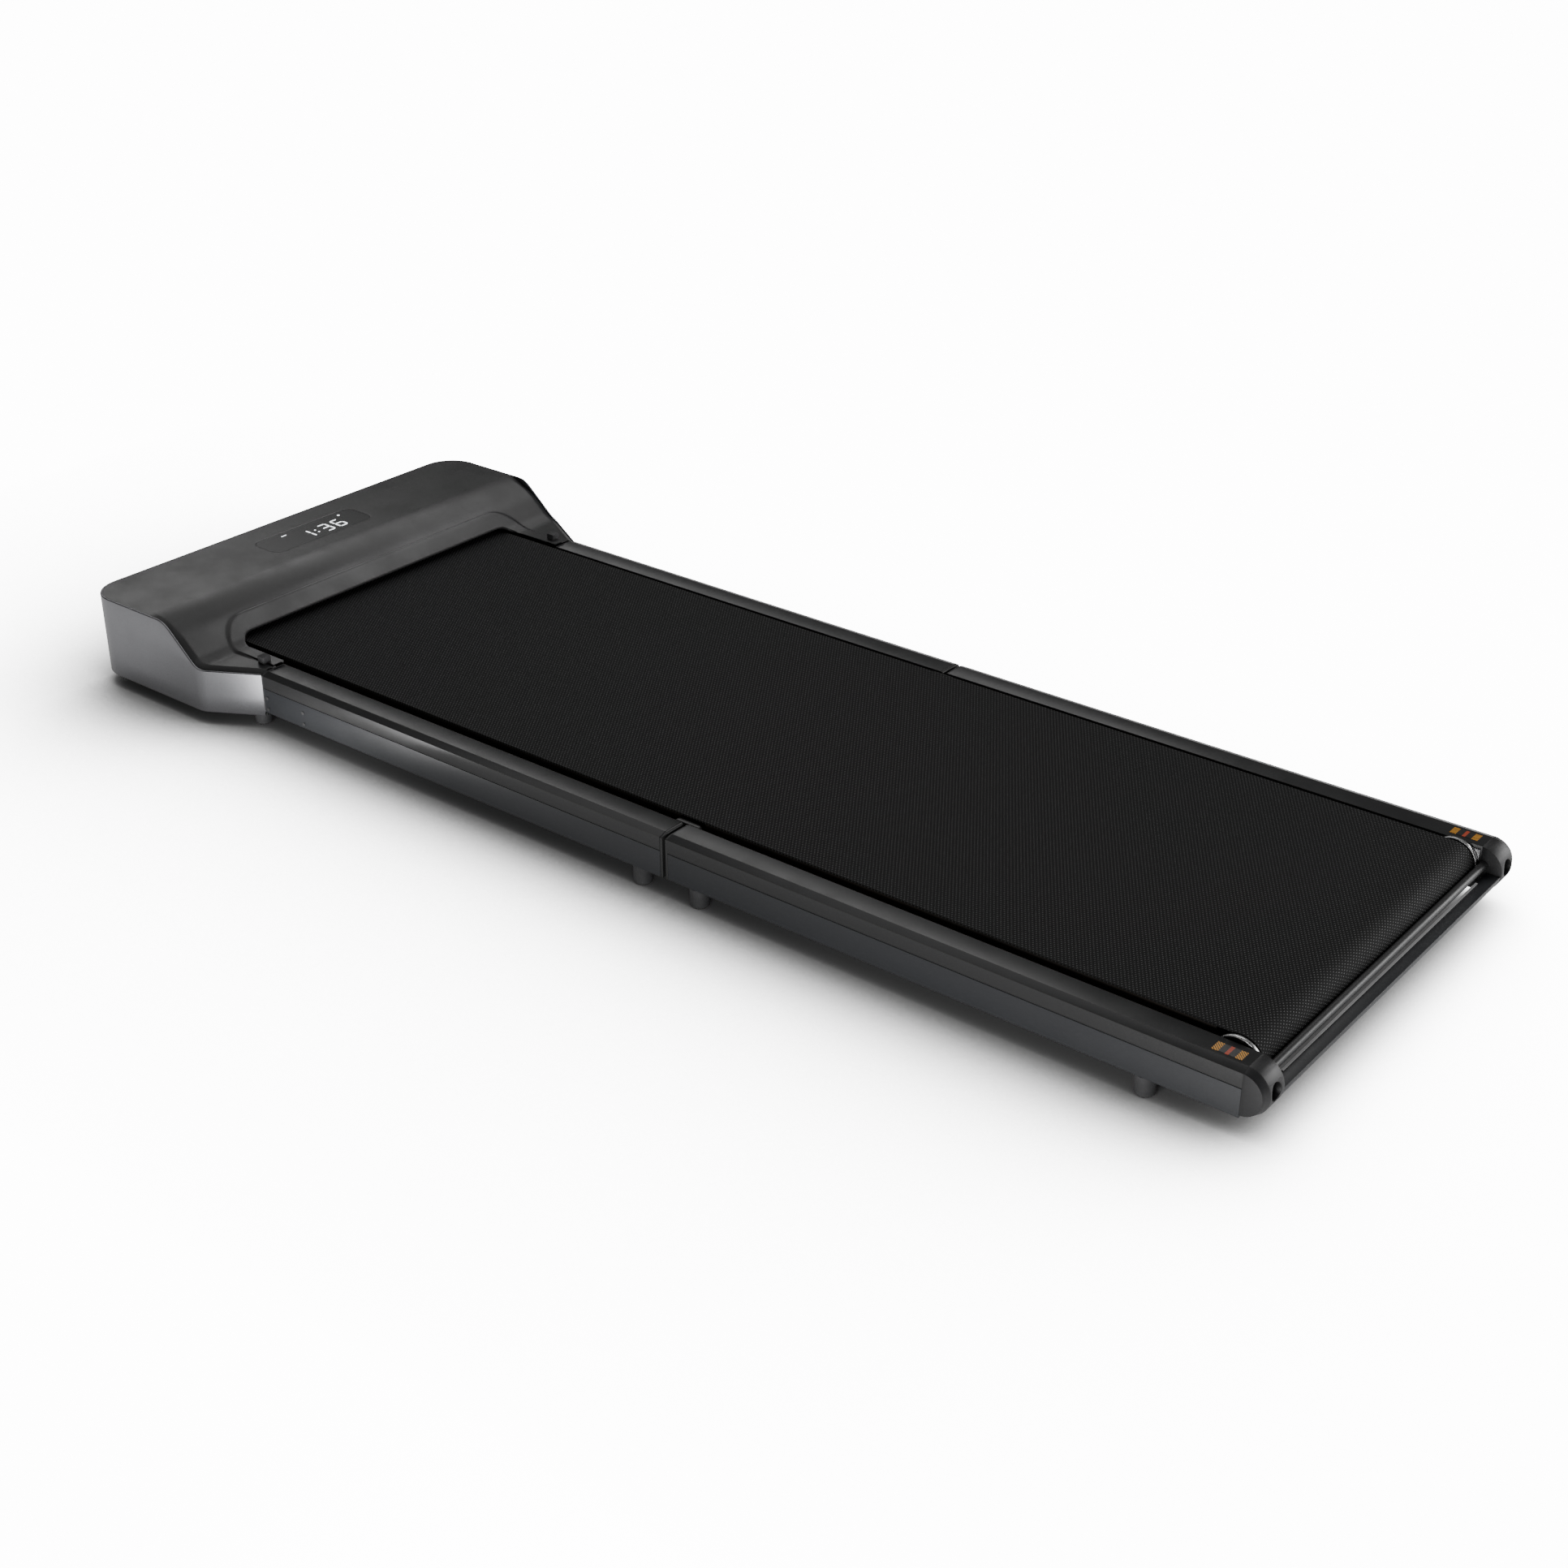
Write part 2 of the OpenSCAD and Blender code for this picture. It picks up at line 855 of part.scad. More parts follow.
module digit(value) {
    lit = lit_segments(value);
    w = digit_width / 2;
    h = digit_height / 2;
    places = [
        [0, h, 0], [w, h / 2, 90], [w, -h / 2, 90], [0, -h, 0],
        [-w, -h / 2, 90], [-w, h / 2, 90], [0, 0, 0]
    ];
    for (i = [0:6]) if (lit[i] == 1)
        translate([places[i].x, places[i].y]) rotate(places[i].z)
            segment_bar(places[i].z == 0 ? digit_width : digit_height / 2);
}

// Seven-segment clock reading and two small indicator lamps
module display_segments() {
    film = 0.25;
    lamp_y = 18;
    color("white") translate([0, display_y - 4, window_top]) linear_extrude(film) {
        for (place = [[-12.5, 1], [15.5, 3], [34.5, 6]])
            translate([place[0], 0]) digit(place[1]);
        for (dy = [-3.5, 3.5])
            translate([1.5, dy]) circle(r = 1.1);
        translate([-33, lamp_y]) square([7, 1.2], center = true);
        translate([50, lamp_y]) circle(r = 1.6);
    }
}

module display_board() {
    board_z = display_z - 8;
    color("darkgreen") {
        block([-66, display_y - 20, board_z], [66, display_y + 20, board_z + 1.6]);
        block([-30, display_y - 15, board_z + 1.6], [46, display_y + 15, display_z - 3.4]);
    }
}

// Bottom tray of the hood, open under the transport wheels
module hood_base_pan() {
    color("black") difference() {
        translate([0, 0, hood_clearance])
            linear_extrude(pan_thickness) polygon(hood_outline(band_thickness + 0.2));
        both_sides() block(
            [wheel_x - wheel_width / 2 - 0.4, wheel_y - wheel_radius - 2, 0],
            [wheel_x + wheel_width / 2 + 0.4, wheel_y + wheel_radius + 2, hood_clearance + 10]
        );
    }
}

// Small rubber blocks on the skirt that the folded rear rails rest on
module fold_bumpers() {
    bumper = 10;
    bumper_top = rail_top + 2 * (pivot_offset - pivot_depth) - 0.6;
    bumper_x = rail_inner + 12;
    color("dimgray") both_sides() block(
        [bumper_x - bumper / 2, junction_y + 11, skirt_z],
        [bumper_x + bumper / 2, junction_y + 11 + bumper, bumper_top]
    );
}

// ---------- electronics ----------

module controller_board() {
    board_z = hood_clearance + pan_thickness + 8;
    color("darkgreen") {
        block([20, front_y - 110, board_z], [190, front_y - 30, board_z + 1.6]);
        for (x = [40, 70]) translate([x, front_y - 50, board_z + 1.6]) cylinder(r = 11, h = 34);
        block([100, front_y - 100, board_z + 1.6], [128, front_y - 76, board_z + 22]);
        for (x = [30, 180], y = [front_y - 104, front_y - 36])
            translate([x, y, hood_clearance + pan_thickness]) cylinder(r = 3, h = 8);
    }
}

module heatsink() {
    base_z = hood_clearance + pan_thickness + 9.6;
    fin_count = 8;
    fin_pitch = 7;
    color("silver") {
        block([30, front_y - 106, base_z], [30 + fin_count * fin_pitch, front_y - 66, base_z + 4]);
        for (i = [0:fin_count - 1])
            translate([31 + i * fin_pitch, 0, 0])
                block([0, front_y - 106, base_z + 4], [2, front_y - 66, base_z + 26]);
    }
}

// ---------- power panel ----------

inlet_cavity = [24, 16];
inlet_depth = 18;
inlet_wall = 2.5;
inlet_outer = inlet_cavity / 2 + [inlet_wall, inlet_wall];

panel_face = front_y - band_thickness - 0.2;
rocker_half = [10, 7.4];
rocker_pivot_y = panel_face - 6;
rocker_stub = 2;
rocker_tilt = 8;
button_radius = 5;

// Black panel behind the band, with openings for the inlet, the rocker switch and the reset button
module power_panel() {
    lap = [2, 2];
    rear_face = panel_face - 3;
    depth = 15;
    cup_back = panel_face - depth - 2;
    color("black") difference() {
        union() {
            panel_block(panel_x, [panel_width, panel_height] / 2 + lap, rear_face, panel_face);
            // Cup behind the rocker and sleeve behind the button
            panel_block(rocker_x, [14, 11], cup_back, rear_face);
            rod_y(cup_back, rear_face, reset_x, panel_z, 8);
        }
        panel_block(rocker_x, rocker_half + [1.4, 0.6], panel_face - depth, panel_face + 1);
        translate([rocker_x, rocker_pivot_y, panel_z - 9.5])
            cylinder(r = rocker_stub + running_clearance, h = 19);
        rod_y(panel_face - depth, panel_face + 1, reset_x, panel_z, button_radius + 0.3);
        panel_block(inlet_x, inlet_outer, panel_face - 10, panel_face + 1);
    }
}

// Mains inlet: a cup with three flat pins
module power_inlet() {
    floor_y = panel_face - inlet_depth;
    color("black") difference() {
        panel_block(inlet_x, inlet_outer, floor_y - 3, panel_face);
        panel_block(inlet_x, inlet_cavity / 2, floor_y, panel_face + 1);
    }
    color("silver") for (pin = [[-7, -2], [0, 3], [7, -2]])
        translate([0, 0, pin.y])
            panel_block(inlet_x + pin.x, [1, 2], floor_y - 0.5, panel_face - 8);
}

// Rocker on two pivot stubs; at rest its right end is pressed in
module rocker_switch() {
    color("red") translate([rocker_x, rocker_pivot_y, panel_z]) {
        rotate([0, 0, -rocker_tilt]) translate([-rocker_half.x, -2.5, -rocker_half.y])
            cube([2 * rocker_half.x, 8.5, 2 * rocker_half.y]);
        translate([0, 0, -9]) cylinder(r = rocker_stub, h = 18);
    }
}

module reset_button() {
    color("red") rod_y(panel_face - 11, front_y - 0.5, reset_x, panel_z, button_radius);
}

// ---------- transport wheels ----------

module transport_wheel(x) {
    difference() {
        union() {
            rod_x(x - wheel_width / 2 + 2, x + wheel_width / 2 - 2, wheel_y, wheel_z, wheel_radius);
            rod_x(x - wheel_width / 2, x + wheel_width / 2, wheel_y, wheel_z, wheel_radius - 3);
        }
        rod_x(x - wheel_width, x + wheel_width, wheel_y, wheel_z, wheel_axle_radius + running_clearance);
    }
}

module transport_wheel_left() {
    color("darkslategray") transport_wheel(-wheel_x);
}

module transport_wheel_right() {
    color("darkslategray") transport_wheel(wheel_x);
}

// Two cheeks, a back plate and an axle for each wheel
module wheel_brackets() {
    cheek = 3;
    inner = wheel_width / 2 + 0.6;
    outer = inner + cheek;
    floor_z = hood_clearance + pan_thickness;
    top_z = wheel_z + 14;
    back_y = wheel_y - wheel_radius - 8;
    color("gray") both_sides() translate([wheel_x, 0, 0]) {
        for (x = [-outer, inner])
            block([x, back_y, floor_z], [x + cheek, wheel_y + 12, top_z]);
        rod_x(-outer, outer, wheel_y, wheel_z, wheel_axle_radius);
        block([-outer, back_y, floor_z], [outer, back_y + 4, top_z]);
    }
}

// ---------- rear end ----------

bolt_x = rail_inner + 13;
bolt_z = nose_z + 2;
ledge_z = nose_z - 2;

// Rounded nose that closes the rear of a rail, with the bolt's access hole
module rear_end_cap() {
    difference() {
        intersection() {
            translate([0, nose_y, nose_z]) rotate([0, 90, 0]) rotate_extrude() polygon([
                [0, rail_inner],
                [nose_radius, rail_inner],
                [nose_radius, rail_outer - chamfer_width],
                [nose_radius - chamfer_drop, rail_outer],
                [0, rail_outer]
            ]);
            block([rail_inner - 1, rear_y - 1, 0], [rail_outer + 1, cap_seam_y, rail_top + 1]);
        }
        rod_y(rear_y - 1, nose_y + 5, bolt_x, bolt_z, 8);
    }
}

module rear_end_caps() {
    color("gray") both_sides() rear_end_cap();
}

// Socket-head bolts that pull the rear roller's axle blocks
module tension_bolts() {
    head_length = 8;
    head_radius = 6.5;
    socket_radius = 3;
    shank_radius = 4;
    head_y = nose_y - head_length;
    color("black") both_sides() {
        difference() {
            rod_y(head_y, nose_y, bolt_x, bolt_z, head_radius);
            rod_y(head_y - 1, head_y + 5, bolt_x, bolt_z, socket_radius);
        }
        rod_y(nose_y, rear_roller_y - axle_radius - 1, bolt_x, bolt_z, shank_radius);
    }
}

// Bright plate on the inner face of a rail that guides the roller's axle
module axle_brackets() {
    color("silver") both_sides() difference() {
        block([rail_inner - 2, rear_roller_y - 22, 30], [rail_inner, rear_roller_y + 18, rail_top - 3]);
        rod_x(rail_inner - 3, rail_inner + 1, rear_roller_y, roller_height, axle_radius + 0.3);
    }
}

module crossbar_rod() {
    color("gray") rod_x(-rail_inner, rail_inner, rear_y + 17.6, roller_height + 1.8, 4);
}

// Curved rear channel between the end caps, with a flat ledge on top
module crossbar_channel() {
    wall = 2.5;
    outer = nose_radius - 0.4;
    color("dimgray") along_x(-rail_inner, rail_inner) difference() {
        translate([nose_y, nose_z]) circle(r = outer);
        translate([nose_y, 0]) square([rail_height, rail_height * 2]);
        translate([nose_y - rail_height, ledge_z]) square([rail_height * 2, rail_height]);
        difference() {
            translate([nose_y, nose_z]) circle(r = outer - wall);
            translate([nose_y - rail_height, ledge_z - wall]) square([rail_height - 8, wall + 1]);
        }
    }
}

// Thin bright strip let into the ledge
module crossbar_strip() {
    color("white") block([-188, nose_y - 10.4, ledge_z], [185, nose_y - 8.2, ledge_z + 0.5]);
}

// Plain striped stickers on the rail tops beside the rear roller
module striped_labels() {
    color("orange") both_sides() block(
        [rail_inner + 7, rear_roller_y - 15, rail_top],
        [rail_inner + 19, rear_roller_y + 12, rail_top + 0.2]
    );
}

hood_cover();
hood_band();
hood_base_pan();
display_window();
display_segments();
display_board();
fold_bumpers();
front_side_beams();
front_rail_trims();
front_gap_caps();
front_hinge_blocks();
front_deck_board();
front_deck_cushions();
front_cross_members();
front_belt();
front_bottom_cover();
front_feet();
side_screws();
rail_gaskets();
drive_roller_axle();
motor_housing();
motor_bracket();
poly_v_belt();
controller_board();
heatsink();
power_panel();
power_inlet();
wheel_brackets();
drive_roller();
drive_roller_rims();
roller_pulley();
motor_rotor();
motor_pulley();
transport_wheel_left();
transport_wheel_right();
rocker_switch();
reset_button();
fold_links();
fold_pins();
belt_guide_tube();
rear_side_beams();
rear_rail_trims();
rear_gap_caps();
rear_hinge_blocks();
rear_end_caps();
rear_deck_board();
rear_deck_cushions();
rear_cross_members();
rear_belt();
rear_bottom_cover();
rear_feet();
rear_roller_axle();
axle_brackets();
tension_bolts();
crossbar_rod();
crossbar_channel();
crossbar_strip();
striped_labels();
rear_roller();
rear_roller_rims();
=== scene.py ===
import json
import math

import bmesh
import bpy
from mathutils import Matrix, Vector
from mathutils.geometry import tessellate_polygon

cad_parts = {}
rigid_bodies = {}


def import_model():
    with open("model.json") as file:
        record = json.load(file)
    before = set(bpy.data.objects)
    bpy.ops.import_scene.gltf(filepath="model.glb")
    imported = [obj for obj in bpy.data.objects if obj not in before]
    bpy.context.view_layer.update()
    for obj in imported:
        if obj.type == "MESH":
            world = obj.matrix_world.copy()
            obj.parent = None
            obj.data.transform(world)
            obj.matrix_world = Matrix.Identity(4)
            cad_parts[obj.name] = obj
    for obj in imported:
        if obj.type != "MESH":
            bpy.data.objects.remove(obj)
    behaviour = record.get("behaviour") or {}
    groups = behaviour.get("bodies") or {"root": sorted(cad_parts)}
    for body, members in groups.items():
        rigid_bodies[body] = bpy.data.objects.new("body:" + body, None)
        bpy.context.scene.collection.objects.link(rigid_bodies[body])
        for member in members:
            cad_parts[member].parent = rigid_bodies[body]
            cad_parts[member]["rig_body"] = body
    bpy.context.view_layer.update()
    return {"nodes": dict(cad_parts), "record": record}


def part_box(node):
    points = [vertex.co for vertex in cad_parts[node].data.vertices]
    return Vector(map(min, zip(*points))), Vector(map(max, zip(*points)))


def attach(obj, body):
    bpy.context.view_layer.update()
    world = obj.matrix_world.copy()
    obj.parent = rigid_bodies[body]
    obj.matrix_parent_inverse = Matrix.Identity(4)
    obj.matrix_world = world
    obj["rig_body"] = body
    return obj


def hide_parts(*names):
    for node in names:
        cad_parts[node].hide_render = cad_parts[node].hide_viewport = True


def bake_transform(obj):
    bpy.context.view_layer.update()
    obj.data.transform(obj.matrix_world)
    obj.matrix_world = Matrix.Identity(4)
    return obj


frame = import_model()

MM = 0.001

# Tolerances in metres: equal numbers, touching points, points rounded when stored in a mesh
EQUAL = 1e-9
TOUCHING = 0.001 * MM
ROUNDING = 0.01 * MM


# ---------- sizes read from the frame ----------

def low(node):
    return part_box(node)[0]


def high(node):
    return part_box(node)[1]


HOOD_FRONT = high("hood_band").y
HOOD_REAR = low("hood_band").y
HOOD_HALF = high("hood_band").x
HOOD_TOP = high("hood_band").z
HOOD_BASE = low("hood_band").z
RAIL_OUTER = high("front_side_beams").x
BELT_HALF = high("front_belt").x
BELT_TOP = high("front_belt").z
BELT_BASE = low("front_belt").z
BELT_THICKNESS = 1.7 * MM
FOLD_Y = (low("front_gap_caps").y + high("rear_gap_caps").y) / 2
SKIRT_Z = low("fold_bumpers").z
SLOPE = math.radians(41)


def centre(node):
    lowest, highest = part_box(node)
    return (lowest + highest) / 2


# ---------- mesh helpers ----------

def smoothstep(start, end, value):
    t = min(max((value - start) / (end - start), 0.0), 1.0)
    return t * t * (3 - 2 * t)


def steps(start, end, count):
    """Evenly spaced values from start to end, both included."""
    return [start + (end - start) * i / count for i in range(count + 1)]


def new_object(name, vertices, faces):
    mesh = bpy.data.meshes.new(name)
    mesh.from_pydata([tuple(v) for v in vertices], [], faces)
    mesh.validate()
    obj = bpy.data.objects.new(name, mesh)
    bpy.context.scene.collection.objects.link(obj)
    clean(obj, 40)
    return obj


def clean(obj, smooth_angle):
    """Merges touching vertices, turns faces outward and shades all but sharp edges smooth."""
    bm = bmesh.new()
    bm.from_mesh(obj.data)
    bmesh.ops.remove_doubles(bm, verts=bm.verts, dist=TOUCHING)
    bmesh.ops.recalc_face_normals(bm, faces=bm.faces)
    bm.to_mesh(obj.data)
    bm.free()
    for polygon in obj.data.polygons:
        polygon.use_smooth = True
    obj.data.set_sharp_from_angle(angle=math.radians(smooth_angle))


def grid_faces(rows, columns):
    """Quads between rows of equal length."""
    faces = []
    for r in range(rows - 1):
        for c in range(columns - 1):
            a = r * columns + c
            b = a + columns
            faces.append((a, b, b + 1, a + 1))
    return faces


def loft(name, rows):
    """Skin over rows of equal length."""
    vertices = [v for row in rows for v in row]
    return new_object(name, vertices, grid_faces(len(rows), len(rows[0])))


def dress(obj, material, body, slot, *nodes):
    """Gives a finished piece its material and its body and hides the CAD nodes it stands for. The finish
    slot it is handed is not used.
    """
    obj.data.materials.clear()
    obj.data.materials.append(material)
    if body:
        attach(obj, body)
    if nodes:
        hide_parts(*nodes)
    return obj


def slot_of(node):
    """Finish slot that the record gives a node."""
    return next(s["material_slot"] for s in frame["record"]["subparts"] if s["node"] == node)


# Faces of a CAD node that differ by less are one flat; edges that turn by more are rounded
FLAT_ANGLE = math.radians(0.5)
SHARP_ANGLE = math.radians(14)


def softened(node, material, width):
    """A copy of a CAD node whose sharp edges are rounded by width."""
    source = frame["nodes"][node]
    mesh = source.data.copy()
    obj = bpy.data.objects.new(node + "_softened", mesh)
    bpy.context.scene.collection.objects.link(obj)
    bm = bmesh.new()
    bm.from_mesh(mesh)
    bmesh.ops.remove_doubles(bm, verts=bm.verts, dist=2 * TOUCHING)
    bmesh.ops.dissolve_limit(bm, angle_limit=FLAT_ANGLE, verts=bm.verts, edges=bm.edges)
    bmesh.ops.recalc_face_normals(bm, faces=bm.faces)
    bm.to_mesh(mesh)
    bm.free()
    for polygon in mesh.polygons:
        polygon.use_smooth = True
    bevel = obj.modifiers.new("soft_edges", "BEVEL")
    bevel.limit_method = "ANGLE"
    bevel.angle_limit = SHARP_ANGLE
    bevel.width = width
    bevel.segments = 2
    bevel.harden_normals = True
    bevel.use_clamp_overlap = True
    graph = bpy.context.evaluated_depsgraph_get()
    baked = bpy.data.meshes.new_from_object(obj.evaluated_get(graph))
    obj.modifiers.clear()
    obj.data = baked
    return dress(obj, material, source["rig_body"], slot_of(node), node)


# ---------- materials ----------

class Nodes:
    """Small helper that adds and links shader nodes."""

    def __init__(self, name):
        self.material = bpy.data.materials.new(name)
        self.material.use_nodes = True
        self.tree = self.material.node_tree
        self.tree.nodes.clear()
        self.shader = self.add("ShaderNodeBsdfPrincipled")
        output = self.add("ShaderNodeOutputMaterial")
        self.link(self.shader.outputs[0], output.inputs["Surface"])
        self.coordinates = self.add("ShaderNodeTexCoord").outputs["Object"]

    def add(self, kind, **values):
        made = self.tree.nodes.new(kind)
        for key, value in values.items():
            setattr(made, key, value)
        return made

    def link(self, source, target):
        self.tree.links.new(source, target)

    def noise(self, scale, detail=3.0, stretch=None):
        texture = self.add("ShaderNodeTexNoise")
        texture.inputs["Scale"].default_value = scale
        texture.inputs["Detail"].default_value = detail
        coordinates = self.coordinates
        if stretch:
            mapping = self.add("ShaderNodeMapping")
            mapping.inputs["Scale"].default_value = stretch
            self.link(coordinates, mapping.inputs["Vector"])
            coordinates = mapping.outputs["Vector"]
        self.link(coordinates, texture.inputs["Vector"])
        return texture.outputs["Fac"]

    def spread(self, value, low_value, high_value, start=0.35, end=0.65):
        """Maps a 0 to 1 texture on to a range of values."""
        mapped = self.add("ShaderNodeMapRange")
        mapped.inputs["From Min"].default_value = start
        mapped.inputs["From Max"].default_value = end
        mapped.inputs["To Min"].default_value = low_value
        mapped.inputs["To Max"].default_value = high_value
        self.link(value, mapped.inputs["Value"])
        return mapped.outputs["Result"]

    def math(self, operation, first, second=None):
        made = self.add("ShaderNodeMath", operation=operation)
        for socket, value in zip(made.inputs, (first, second)):
            if value is None:
                continue
            if isinstance(value, (int, float)):
                socket.default_value = value
            else:
                self.link(value, socket)
        return made.outputs[0]

    def mix(self, factor, first, second):
        mixed = self.add("ShaderNodeMix", data_type="RGBA")
        self.link(factor, mixed.inputs["Factor"])
        for name, value in (("A", first), ("B", second)):
            socket = [s for s in mixed.inputs if s.name == name and s.type == "RGBA"][0]
            if isinstance(value, tuple):
                socket.default_value = (*value, 1)
            else:
                self.link(value, socket)
        return [s for s in mixed.outputs if s.type == "RGBA"][0]

    def bump(self, height, strength, distance):
        made = self.add("ShaderNodeBump")
        made.inputs["Strength"].default_value = strength
        made.inputs["Distance"].default_value = distance
        self.link(height, made.inputs["Height"])
        return made.outputs["Normal"]

    def set(self, **values):
        for key, value in values.items():
            socket = self.shader.inputs[key.replace("_", " ")]
            if isinstance(value, tuple):
                socket.default_value = (*value, 1)
            elif isinstance(value, (int, float)):
                socket.default_value = value
            else:
                self.link(value, socket)


def shade(color, factor):
    return tuple(min(channel * factor, 1.0) for channel in color)


def moulded_plastic(name, color, roughness, grain=2600, grain_strength=0.25, variation=0.1):
    """Plastic with a fine spark-eroded grain and a slight cloudiness."""
    nodes = Nodes(name)
    cloud = nodes.spread(nodes.noise(9, 4), 0, 1)
    nodes.set(
        Base_Color=nodes.mix(cloud, shade(color, 1 - variation), shade(color, 1 + variation)),
        Roughness=nodes.spread(nodes.noise(24, 4), roughness - 0.04, roughness + 0.04),
        Normal=nodes.bump(nodes.noise(grain, 2), grain_strength, 0.00008),
    )
    return nodes.material


def painted_metal(name, color, roughness):
    """Powder coat: fine orange peel, a trace of unevenness along the length."""
    nodes = Nodes(name)
    streaks = nodes.spread(nodes.noise(6, 5, (3, 0.4, 3)), 0, 1)
    nodes.set(
        Base_Color=nodes.mix(streaks, shade(color, 0.93), shade(color, 1.07)),
        Roughness=nodes.spread(nodes.noise(30, 3), roughness - 0.03, roughness + 0.03),
        Normal=nodes.bump(nodes.noise(1500, 2), 0.18, 0.00008),
    )
    return nodes.material


def bare_metal(name, color, roughness, stretch=(1, 1, 1), grain=900, grain_strength=0.12):
    """Bare metal with fine brushing along one direction."""
    nodes = Nodes(name)
    brushing = nodes.noise(grain, 3, stretch)
    cloud = nodes.spread(nodes.noise(14, 4), 0, 1)
    nodes.set(
        Base_Color=nodes.mix(cloud, shade(color, 0.94), shade(color, 1.04)),
        Metallic=1.0,
        Roughness=nodes.spread(brushing, roughness - 0.06, roughness + 0.06),
        Normal=nodes.bump(brushing, grain_strength, 0.00005),
    )
    return nodes.material


def rubber(name, color):
    """Matt rubber with a trace of dust."""
    nodes = Nodes(name)
    dust = nodes.spread(nodes.noise(40, 5), 0, 1, 0.45, 0.75)
    nodes.set(
        Base_Color=nodes.mix(dust, color, shade(color, 1.35)),
        Roughness=nodes.spread(nodes.noise(60, 3), 0.64, 0.76),
        Normal=nodes.bump(nodes.noise(1800, 2), 0.3, 0.0001),
    )
    return nodes.material


def belt_material():
    """Black belt embossed with staggered lozenges, drawn in the belt's own lengthwise coordinates. The
    raised lozenges are coloured lighter than the black between them as a painted highlight.
    """
    nodes = Nodes("belt_rubber")
    across_pitch = 5.4 * MM
    along_pitch = 3.6 * MM
    uv = nodes.add("ShaderNodeTexCoord").outputs["UV"]
    split = nodes.add("ShaderNodeSeparateXYZ")
    nodes.link(uv, split.inputs[0])

    def sawtooth(value, pitch):
        cell = nodes.math("FRACT", nodes.math("DIVIDE", value, pitch))
        return nodes.math("ABSOLUTE", nodes.math("SUBTRACT", cell, 0.5))

    total = nodes.math(
        "ADD",
        sawtooth(split.outputs["X"], across_pitch),
        sawtooth(split.outputs["Y"], along_pitch),
    )
    ridge = nodes.math("ABSOLUTE", nodes.math("SUBTRACT", total, 0.5))
    lozenge_relief_and_highlight = nodes.spread(ridge, 0, 1, 0.20, 0.38)
    fibres = nodes.noise(1400, 3)
    relief = nodes.math("ADD", lozenge_relief_and_highlight, nodes.math("MULTIPLY", fibres, 0.35))
    nodes.set(
        # Painted highlight: the raised lozenges get a lighter colour than the black gaps between them
        Base_Color=nodes.mix(lozenge_relief_and_highlight, (0.0005, 0.0005, 0.0005), (0.060, 0.060, 0.061)),
        Roughness=nodes.spread(lozenge_relief_and_highlight, 0.75, 0.40, 0, 1),
        Specular_IOR_Level=0.3,
        Normal=nodes.bump(relief, 1.0, 0.0005),
    )
    return nodes.material


def rim_material(node):
    """Dark end plug whose flange has a bright turned edge."""
    nodes = Nodes("roller_rim")
    split = nodes.add("ShaderNodeSeparateXYZ")
    nodes.link(nodes.coordinates, split.inputs[0])
    middle = centre(node)
    flange_edge = 1.1 * MM
    edge = high(node).z - middle.z - flange_edge
    dy = nodes.math("SUBTRACT", split.outputs["Y"], middle.y)
    dz = nodes.math("SUBTRACT", split.outputs["Z"], middle.z)
    squared = nodes.math("ADD", nodes.math("MULTIPLY", dy, dy), nodes.math("MULTIPLY", dz, dz))
    bright = nodes.math("GREATER_THAN", nodes.math("SQRT", squared), edge)
    nodes.set(
        Base_Color=nodes.mix(bright, (0.02, 0.02, 0.02), (0.5, 0.5, 0.5)),
        Metallic=1.0,
        Roughness=nodes.spread(nodes.noise(400, 2), 0.26, 0.34),
    )
    return nodes.material


def lit_material():
    """Lit display film, slightly uneven like a diffused lamp."""
    nodes = Nodes("lit_segments")
    glow = nodes.spread(nodes.noise(180, 2), 2.0, 2.6)
    nodes.set(
        Base_Color=(0.8, 0.82, 0.84),
        Emission_Color=(0.93, 0.97, 1.0),
        Emission_Strength=glow,
        Roughness=0.4,
    )
    return nodes.material


def smoked_window_material():
    """Nearly black window with a satin face."""
    nodes = Nodes("smoked_window")
    cloud = nodes.spread(nodes.noise(30, 3), 0, 1)
    nodes.set(
        Base_Color=nodes.mix(cloud, (0.003, 0.003, 0.0035), (0.005, 0.005, 0.0055)),
        Roughness=nodes.spread(nodes.noise(60, 3), 0.30, 0.31),
        Specular_IOR_Level=0.42,
    )
    return nodes.material


def label_material():
    """Plain sticker: dark slanting stripes on amber at both ends, a dark field with a red bar between."""
    nodes = Nodes("label_film")
    split = nodes.add("ShaderNodeSeparateXYZ")
    nodes.link(nodes.coordinates, split.inputs[0])
    side = nodes.math("ABSOLUTE", split.outputs["X"])
    lengthwise = nodes.math("SUBTRACT", split.outputs["Y"], centre("striped_labels").y)
    half_length = (high("striped_labels").y - low("striped_labels").y) / 2
    stripe_pitch = 2.6 * MM
    end_band = nodes.math("GREATER_THAN", nodes.math("ABSOLUTE", lengthwise), half_length * 0.55)
    stripes = nodes.math("FRACT", nodes.math("DIVIDE", nodes.math("ADD", side, lengthwise), stripe_pitch))
    dark_stripe = nodes.math("GREATER_THAN", stripes, 0.62)
    bar = nodes.math("LESS_THAN", nodes.math("ABSOLUTE", lengthwise), half_length * 0.12)
    middle = nodes.mix(bar, (0.02, 0.018, 0.016), (0.60, 0.08, 0.03))
    ends = nodes.mix(dark_stripe, (0.95, 0.42, 0.03), (0.05, 0.03, 0.012))
    nodes.set(
        Base_Color=nodes.mix(end_band, middle, ends),
        Roughness=nodes.spread(nodes.noise(200, 2), 0.35, 0.45),
    )
    return nodes.material


